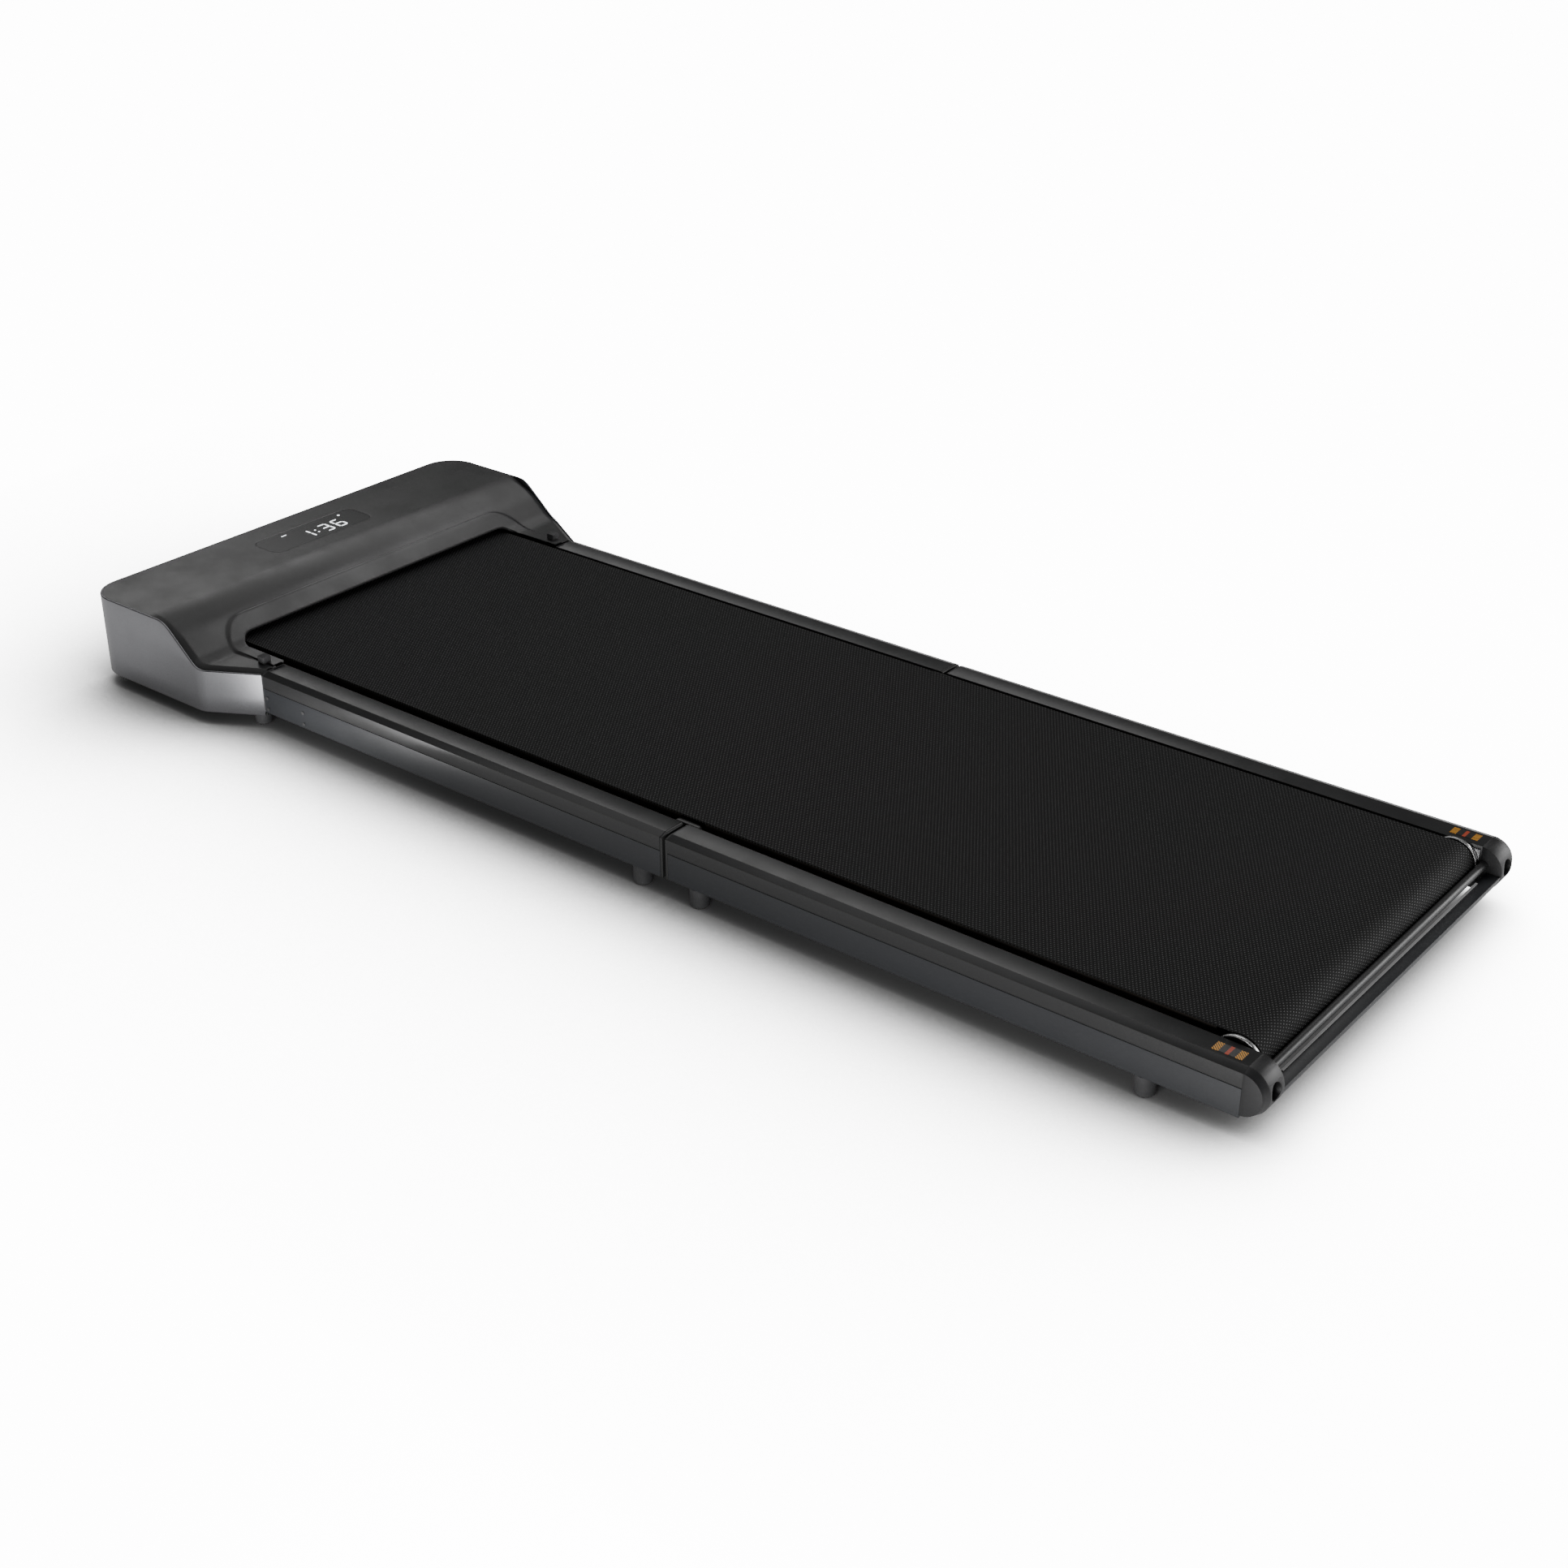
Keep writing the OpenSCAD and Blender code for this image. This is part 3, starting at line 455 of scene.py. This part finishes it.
def board_material():
    """Dark coated board whose fibres run lengthwise."""
    nodes = Nodes("walking_board")
    fibre = nodes.spread(nodes.noise(60, 6, (1, 0.15, 1)), 0, 1)
    nodes.set(
        Base_Color=nodes.mix(fibre, (0.010, 0.008, 0.006), (0.020, 0.015, 0.011)),
        Roughness=nodes.spread(nodes.noise(40, 3), 0.5, 0.65),
        Normal=nodes.bump(nodes.noise(500, 4), 0.2, 0.0001),
    )
    return nodes.material


MATERIALS = {
    "hood_plastic": moulded_plastic("hood_plastic", (0.019, 0.019, 0.0195), 0.33, 2400, 0.3),
    "band_aluminium": bare_metal("band_aluminium", (0.25, 0.25, 0.262), 0.33, (1, 1, 1), 1500, 0.2),
    "black_plastic": moulded_plastic("black_plastic", (0.012, 0.012, 0.012), 0.5),
    "smoked_window": smoked_window_material(),
    "lit_segments": lit_material(),
    "circuit_board": moulded_plastic("circuit_board", (0.012, 0.08, 0.03), 0.4, 900, 0.3, 0.25),
    "grey_rubber": rubber("grey_rubber", (0.045, 0.045, 0.047)),
    "dark_beam": painted_metal("dark_beam", (0.024, 0.0255, 0.029), 0.40),
    "grey_trim": painted_metal("grey_trim", (0.020, 0.020, 0.0205), 0.31),
    "dark_caps": moulded_plastic("dark_caps", (0.020, 0.020, 0.020), 0.45),
    "cap_plastic": moulded_plastic("cap_plastic", (0.014, 0.014, 0.015), 0.44),
    "plain_steel": bare_metal("plain_steel", (0.55, 0.55, 0.56), 0.27, (1, 12, 12)),
    "black_steel": painted_metal("black_steel", (0.045, 0.045, 0.046), 0.38),
    "walking_board": board_material(),
    "belt_rubber": belt_material(),
    "drive_belt": rubber("drive_belt", (0.012, 0.012, 0.012)),
    "motor_can": painted_metal("motor_can", (0.02, 0.02, 0.02), 0.4),
    "pulley_iron": bare_metal("pulley_iron", (0.25, 0.25, 0.25), 0.35, (8, 1, 1)),
    "heatsink_aluminium": bare_metal("heatsink_aluminium", (0.6, 0.6, 0.62), 0.35, (1, 10, 1)),
    # Painted light: this pale strip stands in for the bright floor seen through the slit under the rear
    # crossbar
    "bright_strip": moulded_plastic("bright_strip", (0.75, 0.75, 0.75), 0.35),
    "label_film": label_material(),
    "wheel_plastic": moulded_plastic("wheel_plastic", (0.02, 0.02, 0.02), 0.45),
    "red_plastic": moulded_plastic("red_plastic", (0.30, 0.012, 0.012), 0.3),
}


# ---------- hood ----------

def bend_profile(y, foot, head, base, top, foot_radius, head_radius):
    """Height of the hood's side profile: flat, concave bend, slope, convex bend, flat."""
    foot_run = foot_radius * math.tan(SLOPE / 2)
    head_run = head_radius * math.tan(SLOPE / 2)
    if y <= foot - foot_run:
        return base
    if y < foot + foot_run * math.cos(SLOPE):
        across = y - (foot - foot_run)
        return base + foot_radius - math.sqrt(foot_radius ** 2 - across ** 2)
    if y >= head + head_run:
        return top
    if y > head - head_run * math.cos(SLOPE):
        across = head + head_run - y
        return top - head_radius + math.sqrt(head_radius ** 2 - across ** 2)
    return base + (y - foot) * math.tan(SLOPE)


# Side profile of the cover and of the band: both climb the same slope
COVER_FOOT = HOOD_REAR + 65 * MM
COVER_HEAD = COVER_FOOT + (HOOD_TOP - SKIRT_Z) / math.tan(SLOPE)
COVER_HEAD_RADIUS = 78 * MM
BAND_LOW_Z = SKIRT_Z - 3.5 * MM
BAND_FOOT = HOOD_REAR + 63 * MM
BAND_HEAD = BAND_FOOT + (HOOD_TOP - BAND_LOW_Z) / math.tan(SLOPE)
BAND_HEAD_RADIUS = 28 * MM
FOOT_RADIUS = 30 * MM

# Plan outline of the band
FLARE_LENGTH = 60 * MM
CORNER_RADIUS = 38 * MM
BEND_RADIUS = 25 * MM
BAND_THICKNESS = 2 * MM
PANEL_LAP = 2 * MM

# Mouth of the cover, where the belt runs in, and the brow round it
MOUTH_HALF = BELT_HALF + 8 * MM
MOUTH_FRONT = HOOD_REAR + 76.5 * MM
MOUTH_RADIUS = 20 * MM
BROW_WIDTH = 17 * MM
BROW_HEIGHT = 1.5 * MM

# Cover's fit in the band, its chamfered edge as width and drop, and the edge turned down inside the band
COVER_INSET = BAND_THICKNESS + 0.25 * MM
EDGE_CHAMFER = (7 * MM, 4 * MM)
TURNED_DOWN = Vector((0, 0, -6 * MM))

DISPLAY_CORNER = 12 * MM
DISPLAY_GAP = 0.15 * MM


def cover_height(y):
    return bend_profile(y, COVER_FOOT, COVER_HEAD, SKIRT_Z, HOOD_TOP, FOOT_RADIUS, COVER_HEAD_RADIUS)


def band_height(y):
    return bend_profile(y, BAND_FOOT, BAND_HEAD, BAND_LOW_Z, HOOD_TOP, FOOT_RADIUS, BAND_HEAD_RADIUS)


def rounded_path(points, radii):
    """Points of an open path with each inner corner rounded by its radius."""
    per_arc = 14
    path = [Vector(points[0])]
    for previous, corner, following, radius in zip(points, points[1:], points[2:], radii):
        corner = Vector(corner)
        back = (Vector(previous) - corner).normalized()
        ahead = (Vector(following) - corner).normalized()
        half = math.acos(max(-1, min(1, back.dot(ahead)))) / 2
        middle = corner + (back + ahead).normalized() * radius / math.sin(half)
        start = corner + back * radius / math.tan(half) - middle
        end = corner + ahead * radius / math.tan(half) - middle
        first = math.atan2(start.y, start.x)
        turn = math.atan2(start.x * end.y - start.y * end.x, start.dot(end))
        for i in range(per_arc + 1):
            angle = first + turn * i / per_arc
            path.append(middle + radius * Vector((math.cos(angle), math.sin(angle))))
    path.append(Vector(points[-1]))
    return path


def hood_path(inset):
    """Plan outline of the hood from the left rear end round the front to the right rear end."""
    angle = math.atan2(HOOD_HALF - RAIL_OUTER, FLARE_LENGTH)
    side = HOOD_HALF - inset
    rear = RAIL_OUTER - inset / math.cos(angle)
    bend = HOOD_REAR + FLARE_LENGTH + inset * math.tan(angle / 2)
    front = HOOD_FRONT - inset
    right = [(side, front), (side, bend), (rear, HOOD_REAR)]
    left = [(-x, y) for x, y in reversed(right)]
    radii = [BEND_RADIUS - inset, CORNER_RADIUS - inset, CORNER_RADIUS - inset, BEND_RADIUS - inset]
    return rounded_path(left + right, radii)


def densified(path, step):
    """The same path with no stretch longer than step."""
    result = [path[0]]
    for a, b in zip(path, path[1:]):
        count = max(1, math.ceil((b - a).length / step))
        for i in range(1, count + 1):
            result.append(a.lerp(b, i / count))
    return result


def split_front(path, stations):
    """Adds points to a plan path where its front line crosses the given x stations."""
    result = [path[0]]
    for a, b in zip(path, path[1:]):
        if min(a.y, b.y) > HOOD_FRONT - TOUCHING:
            result += [Vector((x, HOOD_FRONT)) for x in stations if a.x + TOUCHING < x < b.x - TOUCHING]
        result.append(b)
    return result


def open_window(obj, x_range, z_range, y_rear):
    """Removes the faces of the front within a rectangle and walls the opening's edge."""
    bm = bmesh.new()
    bm.from_mesh(obj.data)

    def inside(point):
        in_x = x_range[0] - ROUNDING < point.x < x_range[1] + ROUNDING
        in_z = z_range[0] - ROUNDING < point.z < z_range[1] + ROUNDING
        return in_x and in_z and point.y > y_rear - ROUNDING

    hidden = [f for f in bm.faces if all(inside(v.co) for v in f.verts)]
    bmesh.ops.delete(bm, geom=hidden, context="FACES")
    rim = [e for e in bm.edges if e.is_boundary and all(inside(v.co) for v in e.verts)]
    bmesh.ops.bridge_loops(bm, edges=rim)
    bm.to_mesh(obj.data)
    bm.free()
    clean(obj, 50)


def band_section(top, opening_z):
    """Closed section of the band as depth and height, with stops at the opening's bottom and top."""
    ease = 0.7 * MM
    upper = min(opening_z[1], top - 2 * ease)
    lower = min(opening_z[0], upper - ease)
    return [
        (BAND_THICKNESS, HOOD_BASE),
        (ease, HOOD_BASE),
        (ease * 0.3, HOOD_BASE + ease * 0.3),
        (0, HOOD_BASE + ease),
        (0, lower),
        (0, upper),
        (0, top - ease),
        (ease * 0.3, top - ease * 0.3),
        (ease, top),
        (BAND_THICKNESS, top),
        (BAND_THICKNESS, upper),
        (BAND_THICKNESS, lower),
        (BAND_THICKNESS, HOOD_BASE),
    ]


def direction_at(path, i):
    """Unit vector along a path at one of its points."""
    return (path[min(i + 1, len(path) - 1)] - path[max(i - 1, 0)]).normalized()


def make_hood_band():
    """Ribbon that stands on edge round the hood, with eased edges, open at the power panel."""
    opening_x = (low("power_panel").x + PANEL_LAP, high("power_panel").x - PANEL_LAP)
    opening_z = (low("power_panel").z + PANEL_LAP, high("power_panel").z - PANEL_LAP)
    path = split_front(densified(hood_path(0), 4 * MM), opening_x)
    rows = []
    for i, point in enumerate(path):
        along = direction_at(path, i)
        inward = Vector((along.y, -along.x))
        section = band_section(band_height(point.y), opening_z)
        rows.append([Vector((*(point + inward * depth), height)) for depth, height in section])
    band = loft("hood_band_ribbon", rows)
    open_window(band, opening_x, opening_z, HOOD_FRONT - BAND_THICKNESS)
    return dress(band, MATERIALS["band_aluminium"], "front_deck", "band_aluminium", "hood_band")


def half_width_at(path, y):
    """Greatest x of a plan path at a given y."""
    widest = 0.0
    for a, b in zip(path, path[1:]):
        if min(a.y, b.y) - EQUAL <= y <= max(a.y, b.y) + EQUAL:
            t = 0.5 if abs(b.y - a.y) < EQUAL else (y - a.y) / (b.y - a.y)
            widest = max(widest, abs(a.x + (b.x - a.x) * t))
    return widest


def mouth_half_at(y):
    """Half width of the belt's mouth at a given y; the line is carried on past the mouth's front."""
    straight_end = MOUTH_FRONT - MOUTH_RADIUS
    if y <= straight_end:
        return MOUTH_HALF
    drop = min(y - straight_end, MOUTH_RADIUS)
    return MOUTH_HALF - MOUTH_RADIUS + math.sqrt(MOUTH_RADIUS ** 2 - drop ** 2)


def mouth_distance(x, y):
    """Distance of a point outside the mouth's rounded outline."""
    dx = abs(x) - (MOUTH_HALF - MOUTH_RADIUS)
    dy = y - (MOUTH_FRONT - MOUTH_RADIUS)
    if dx > 0 and dy > 0:
        return math.hypot(dx, dy) - MOUTH_RADIUS
    return max(dx, dy) - MOUTH_RADIUS


def cover_point(x, y, half):
    """Point of the cover's outer skin, with the brow raised and the outer edge chamfered."""
    height = cover_height(y)
    distance = mouth_distance(x, y)
    brow = 1 - smoothstep(BROW_WIDTH - 2.2 * MM, BROW_WIDTH + 0.4 * MM, distance)
    brow *= smoothstep(HOOD_REAR + 18 * MM, HOOD_REAR + 58 * MM, y)
    height += BROW_HEIGHT * brow
    width, drop = EDGE_CHAMFER
    drop *= 1 - smoothstep(COVER_HEAD - 4 * MM, COVER_HEAD + 28 * MM, y)
    inside = half - abs(x)
    height -= drop * min(max(1 - inside / width, 0), 1)
    return Vector((x, y, min(height, HOOD_TOP)))


def cover_stations():
    """Stations of the cover from its rear end to its front edge, closer together where it bends."""
    corner = CORNER_RADIUS - COVER_INSET
    front = HOOD_FRONT - COVER_INSET
    straight_end = MOUTH_FRONT - MOUTH_RADIUS
    bends_end = HOOD_REAR + 145 * MM
    stations = steps(HOOD_REAR, straight_end, 40)
    stations += [straight_end + MOUTH_RADIUS * math.sin(a) for a in steps(0, math.pi / 2, 14)][1:]
    stations += steps(MOUTH_FRONT, bends_end, 60)[1:]
    stations += steps(bends_end, front - corner, 16)[1:]
    stations += [front - corner * (1 - math.sin(a)) for a in steps(0, math.pi / 2, 16)][1:]
    return stations


def make_cover_side(side, stations):
    """One side of the cover, from the mouth's edge out to the band."""
    path = hood_path(COVER_INSET)
    front = HOOD_FRONT - COVER_INSET
    rows = []
    for y in stations:
        half = half_width_at(path, y) if y < front - TOUCHING else HOOD_HALF - CORNER_RADIUS
        inner = min(mouth_half_at(y), half - 2 * MM)
        edge = max(half - EDGE_CHAMFER[0], inner + 1 * MM)
        xs = steps(inner, edge - 0.6 * MM, 34) + [edge + 0.3 * MM, half]
        row = [cover_point(side * x, y, half) for x in xs]
        row.append(row[-1] + TURNED_DOWN)
        rows.append(row)
    rows.append([v + TURNED_DOWN for v in rows[-1]])
    return loft("cover_side", rows)


def make_hood_cover():
    """Dark moulding of the hood: a height map cut out by the mouth, its edges turned down."""
    stations = cover_stations()
    inner = MOUTH_HALF - MOUTH_RADIUS
    columns_x = steps(-inner, inner, 16)
    display_margin = 4 * MM
    plate_rear = max(y for y in stations if y < low("display_window").y - display_margin)
    plate_front = min(y for y in stations if y > high("display_window").y + display_margin)
    behind = [y for y in stations if MOUTH_FRONT - TOUCHING < y <= plate_rear]
    beside = [y for y in stations if plate_rear <= y <= plate_front]
    ahead = [y for y in stations if y >= plate_front]
    middle = [[cover_point(x, y, HOOD_HALF) for x in columns_x] for y in behind]
    front = [[Vector((x, y, HOOD_TOP)) for x in columns_x] for y in ahead]
    front.append([v + TURNED_DOWN for v in front[-1]])
    cover = joined("hood_cover_moulding", [
        make_cover_side(-1, stations),
        make_cover_side(1, stations),
        loft("cover_middle", middle),
        loft("cover_front", front),
        make_display_surround(columns_x, beside),
        make_mouth_lip(),
    ])
    return dress(cover, MATERIALS["hood_plastic"], "front_deck", "hood_plastic", "hood_cover")


def display_loop(grow, height):
    """Rounded rectangle round the display window, grown by a margin."""
    middle = centre("display_window")
    radius = DISPLAY_CORNER + grow
    inner_x = high("display_window").x + DISPLAY_GAP - DISPLAY_CORNER
    inner_y = high("display_window").y - middle.y + DISPLAY_GAP - DISPLAY_CORNER
    loop = []
    for quarter, (side_x, side_y) in enumerate([(1, 1), (-1, 1), (-1, -1), (1, -1)]):
        start = quarter * math.pi / 2
        for a in steps(start, start + math.pi / 2, 10):
            x = side_x * inner_x + radius * math.cos(a)
            y = middle.y + side_y * inner_y + radius * math.sin(a)
            loop.append(Vector((x, y, height)))
    return loop


def make_display_surround(columns_x, rows_y):
    """Flat plate round the display opening, with the opening's edge rounded and turned down."""
    outer = [Vector((x, rows_y[0], HOOD_TOP)) for x in columns_x]
    outer += [Vector((columns_x[-1], y, HOOD_TOP)) for y in rows_y[1:-1]]
    outer += [Vector((x, rows_y[-1], HOOD_TOP)) for x in reversed(columns_x)]
    outer += [Vector((columns_x[0], y, HOOD_TOP)) for y in reversed(rows_y[1:-1])]
    edge = [(1.5, 0), (0.3, 0), (0.1, -0.1), (0, -0.3), (0, -2.4)]
    rims = [display_loop(grow * MM, HOOD_TOP + dz * MM) for grow, dz in edge]
    plate = new_object("cover_plate", outer + rims[0], tessellate_polygon([outer, rims[0]]))
    rim = loft("cover_rim", [loop + loop[:1] for loop in rims])
    return joined("cover_display_surround", [plate, rim])


# Outward and upward steps in millimetres from the mouth's edge
LIP_SECTION = [
    (0, 0), (-0.35, -0.15), (-0.7, -0.5), (-0.85, -1.0), (-0.85, -3.0), (0.2, -3.4), (14, -3.4),
]


def make_mouth_lip():
    """Rounded edge of the mouth that turns down and back under the cover, clear of the belt."""
    right = [(MOUTH_HALF, MOUTH_FRONT), (MOUTH_HALF, HOOD_REAR)]
    left = [(-x, y) for x, y in reversed(right)]
    path = densified(rounded_path(left + right, [MOUTH_RADIUS, MOUTH_RADIUS]), 6 * MM)
    lowest = BELT_TOP + 0.6 * MM
    rows = []
    for i, point in enumerate(path):
        along = direction_at(path, i)
        outward = Vector((-along.y, along.x))
        top = cover_point(point.x, point.y, HOOD_HALF).z
        rows.append([
            Vector((*(point + outward * dx * MM), max(top + dz * MM, lowest)))
            for dx, dz in LIP_SECTION
        ])
    return loft("cover_lip", rows)


def joined(name, parts):
    """One object made of several, welded where they meet."""
    bm = bmesh.new()
    for part in parts:
        bm.from_mesh(part.data)
        bpy.data.objects.remove(part)
    bmesh.ops.remove_doubles(bm, verts=bm.verts, dist=2 * ROUNDING)
    mesh = bpy.data.meshes.new(name)
    bm.to_mesh(mesh)
    bm.free()
    obj = bpy.data.objects.new(name, mesh)
    bpy.context.scene.collection.objects.link(obj)
    clean(obj, 32)
    return obj


# ---------- running belt ----------

def belt_path(roller_y, direction):
    """Half of the belt's outer line from the fold along the top, round the roller and back below."""
    middle = (BELT_TOP + BELT_BASE) / 2
    radius = (BELT_TOP - BELT_BASE) / 2
    bend = 40 * MM
    near = [FOLD_Y + direction * s for s in steps(0, bend, 40)]
    far = [near[-1] + (roller_y - near[-1]) * t for t in steps(0, 1, 60)][1:]
    top = [Vector((y, BELT_TOP)) for y in near + far]
    arc = [
        Vector((roller_y + direction * radius * math.sin(a), middle + radius * math.cos(a)))
        for a in steps(0, math.pi, 40)
    ][1:-1]
    bottom = [Vector((v.x, BELT_BASE)) for v in reversed(top)]
    return top + arc + bottom


def belt_section(outer, inner):
    """Closed section across the belt as x and a point of the belt's side view, with eased edges."""
    edge = BELT_HALF - 0.3 * MM
    near_inner = inner.lerp(outer, 0.25)
    near_outer = inner.lerp(outer, 0.75)
    return [
        (-edge, inner), (-BELT_HALF, near_inner), (-BELT_HALF, near_outer), (-edge, outer), (0, outer),
        (edge, outer), (BELT_HALF, near_outer), (BELT_HALF, near_inner), (edge, inner), (0, inner),
        (-edge, inner),
    ]


def make_belt(name, roller_node, node, direction):
    """Half of the belt. Its texture runs lengthwise, and its rows lie closer together near the fold."""
    path = belt_path(centre(roller_node).y, direction)
    rows = []
    lengths = []
    travelled = 0.0
    for i, point in enumerate(path):
        along = direction_at(path, i)
        inward = Vector((-along.y, along.x)) * -direction
        travelled += (point - path[i - 1]).length if i else 0.0
        section = belt_section(point, point + inward * BELT_THICKNESS)
        rows.append([Vector((x, p.x, p.y)) for x, p in section])
        lengths.append(travelled)
    columns = len(rows[0])
    mesh = bpy.data.meshes.new(name)
    mesh.from_pydata([tuple(v) for row in rows for v in row], [], grid_faces(len(rows), columns))
    layer = mesh.uv_layers.new(name="belt")
    for loop in mesh.loops:
        row, column = divmod(loop.vertex_index, columns)
        layer.data[loop.index].uv = (rows[row][column].x + 1.0, direction * lengths[row] + 10.0)
    belt = bpy.data.objects.new(name, mesh)
    bpy.context.scene.collection.objects.link(belt)
    clean(belt, 50)
    dress(belt, MATERIALS["belt_rubber"], None, "belt_rubber", node)
    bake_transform(belt)
    return belt


# ---------- carried CAD nodes ----------

# Width in millimetres of the rounding on each node's sharp edges
SOFTENED = {
    "front_side_beams": 0.6, "rear_side_beams": 0.6, "front_rail_trims": 0.7, "rear_rail_trims": 0.7,
    "front_gap_caps": 0.7, "rear_gap_caps": 0.7, "rear_end_caps": 0.9, "fold_bumpers": 0.7,
    "crossbar_channel": 0.5, "axle_brackets": 0.3, "rear_roller_rims": 0.5, "fold_links": 0.4,
    "power_panel": 0.4, "power_inlet": 0.4, "rocker_switch": 0.5, "reset_button": 0.5,
    "transport_wheel_left": 0.8, "transport_wheel_right": 0.8, "wheel_brackets": 0.3, "side_screws": 0.2,
    "hood_base_pan": 0.3, "front_bottom_cover": 0.3, "rear_bottom_cover": 0.3,
}


def dress_cad_nodes():
    """Rounds the edges of the pieces seen close up and gives every other node its material as it is."""
    for node, width in SOFTENED.items():
        material = rim_material(node) if node == "rear_roller_rims" else MATERIALS[slot_of(node)]
        softened(node, material, width * MM)
    for node, obj in frame["nodes"].items():
        if obj.hide_render:
            continue
        obj.data.materials.clear()
        obj.data.materials.append(MATERIALS[slot_of(node)])


# ---------- stage ----------

# Glow of the floor and depth of its contact shadow. The camera sees the first pair. The object is lit by the
# second, which is weaker. The shadow leans away from the light.
FLOOR_WHITE = 14.0
FLOOR_SHADOW = 5.5
FLOOR_BOUNCE = 0.85
BOUNCE_SHADOW = 2.0
FLOOR_HALF = 14.0
SHADOW_REACH = 0.6
SHADOW_LEAN = (0.50, -0.40, 1.0)


def make_floor():
    """White sweep that glows through its own soft contact shadow, which leans to one side."""
    corners = [(x * FLOOR_HALF, y * FLOOR_HALF, 0) for x, y in [(-1, -1), (1, -1), (1, 1), (-1, 1)]]
    floor = new_object("floor", corners, [(0, 1, 2, 3)])
    nodes = Nodes("floor_paint")
    lean = nodes.add("ShaderNodeCombineXYZ")
    for axis, value in zip("XYZ", SHADOW_LEAN):
        lean.inputs[axis].default_value = value
    tilted = nodes.add("ShaderNodeVectorMath", operation="NORMALIZE")
    nodes.link(lean.outputs[0], tilted.inputs[0])
    openness = nodes.add("ShaderNodeAmbientOcclusion", samples=20)
    openness.inputs["Distance"].default_value = SHADOW_REACH
    nodes.link(tilted.outputs[0], openness.inputs["Normal"])
    seen = nodes.add("ShaderNodeLightPath").outputs["Is Camera Ray"]
    depth = nodes.spread(seen, BOUNCE_SHADOW, FLOOR_SHADOW, 0, 1)
    level = nodes.spread(seen, FLOOR_BOUNCE, FLOOR_WHITE, 0, 1)
    shadow = nodes.math("POWER", openness.outputs["AO"], depth)
    cloud = nodes.spread(nodes.noise(3, 2), 0, 1)
    nodes.set(
        Base_Color=nodes.mix(cloud, (0.30, 0.30, 0.30), (0.32, 0.32, 0.32)),
        Roughness=0.6,
        Emission_Color=(1.0, 1.0, 1.0),
        Emission_Strength=nodes.math("MULTIPLY", shadow, level),
    )
    nodes.material.cycles.emission_sampling = "NONE"
    floor.data.materials.append(nodes.material)


# Soft boxes: place, the way each faces, width and height in metres, and watts
SOFT_BOXES = {
    "right_low": ((1.10, 1.60, 1.24), (-0.9, 0, -0.45), (3.2, 0.46), 9),
    "right_high": ((1.10, -0.15, 1.72), (-0.8, 0, -0.6), (1.2, 0.45), 5),
    "overhead": ((0.25, 0.75, 1.90), (-0.1, -0.2, -1), (1.2, 1.6), 4),
    "rear_right": ((1.20, -1.45, 0.45), (-0.75, 0.6, -0.1), (1.2, 0.6), 13),
    "left_floor": ((-0.38, 0.39, 0.025), (0.4, 0, 0.9), (0.14, 0.14), 0.6),
    "left_rear": ((-1.00, -0.70, 0.14), (0.9, 0.1, -0.05), (0.5, 0.25), 4.5),
}
WORLD_STRENGTH = 0.10

CAMERA_PLACE = (-1.6074, -1.3217, 1.0969)
CAMERA_LOOKS_DOWN = 28.049
CAMERA_TURNED_RIGHT = 51.518
LENS = 52.69
SENSOR_WIDTH = 36


def make_soft_box(name, place, facing, size, power):
    """Rectangular light that the camera does not see."""
    data = bpy.data.lights.new(name, "AREA")
    data.shape = "RECTANGLE"
    data.size = size[0]
    data.size_y = size[1]
    data.energy = power
    light = bpy.data.objects.new(name, data)
    light.location = place
    light.rotation_euler = Vector(facing).to_track_quat("-Z", "Y").to_euler()
    light.visible_camera = False
    bpy.context.scene.collection.objects.link(light)


def make_world():
    world = bpy.data.worlds.new("studio")
    bpy.context.scene.world = world
    world.use_nodes = True
    background = next(n for n in world.node_tree.nodes if n.type == "BACKGROUND")
    background.inputs["Color"].default_value = (1.0, 1.0, 1.0, 1)
    background.inputs["Strength"].default_value = WORLD_STRENGTH


def make_camera():
    data = bpy.data.cameras.new("camera")
    data.lens = LENS
    data.sensor_width = SENSOR_WIDTH
    camera = bpy.data.objects.new("camera", data)
    camera.location = CAMERA_PLACE
    camera.rotation_euler = (math.radians(90 - CAMERA_LOOKS_DOWN), 0, -math.radians(CAMERA_TURNED_RIGHT))
    bpy.context.scene.collection.objects.link(camera)
    bpy.context.scene.camera = camera


make_hood_band()
make_hood_cover()
make_belt("belt_front_half", "drive_roller", "front_belt", 1)
make_belt("belt_rear_half", "rear_roller", "rear_belt", -1)
dress_cad_nodes()
make_floor()
make_world()
for name, settings in SOFT_BOXES.items():
    make_soft_box(name, *settings)
make_camera()
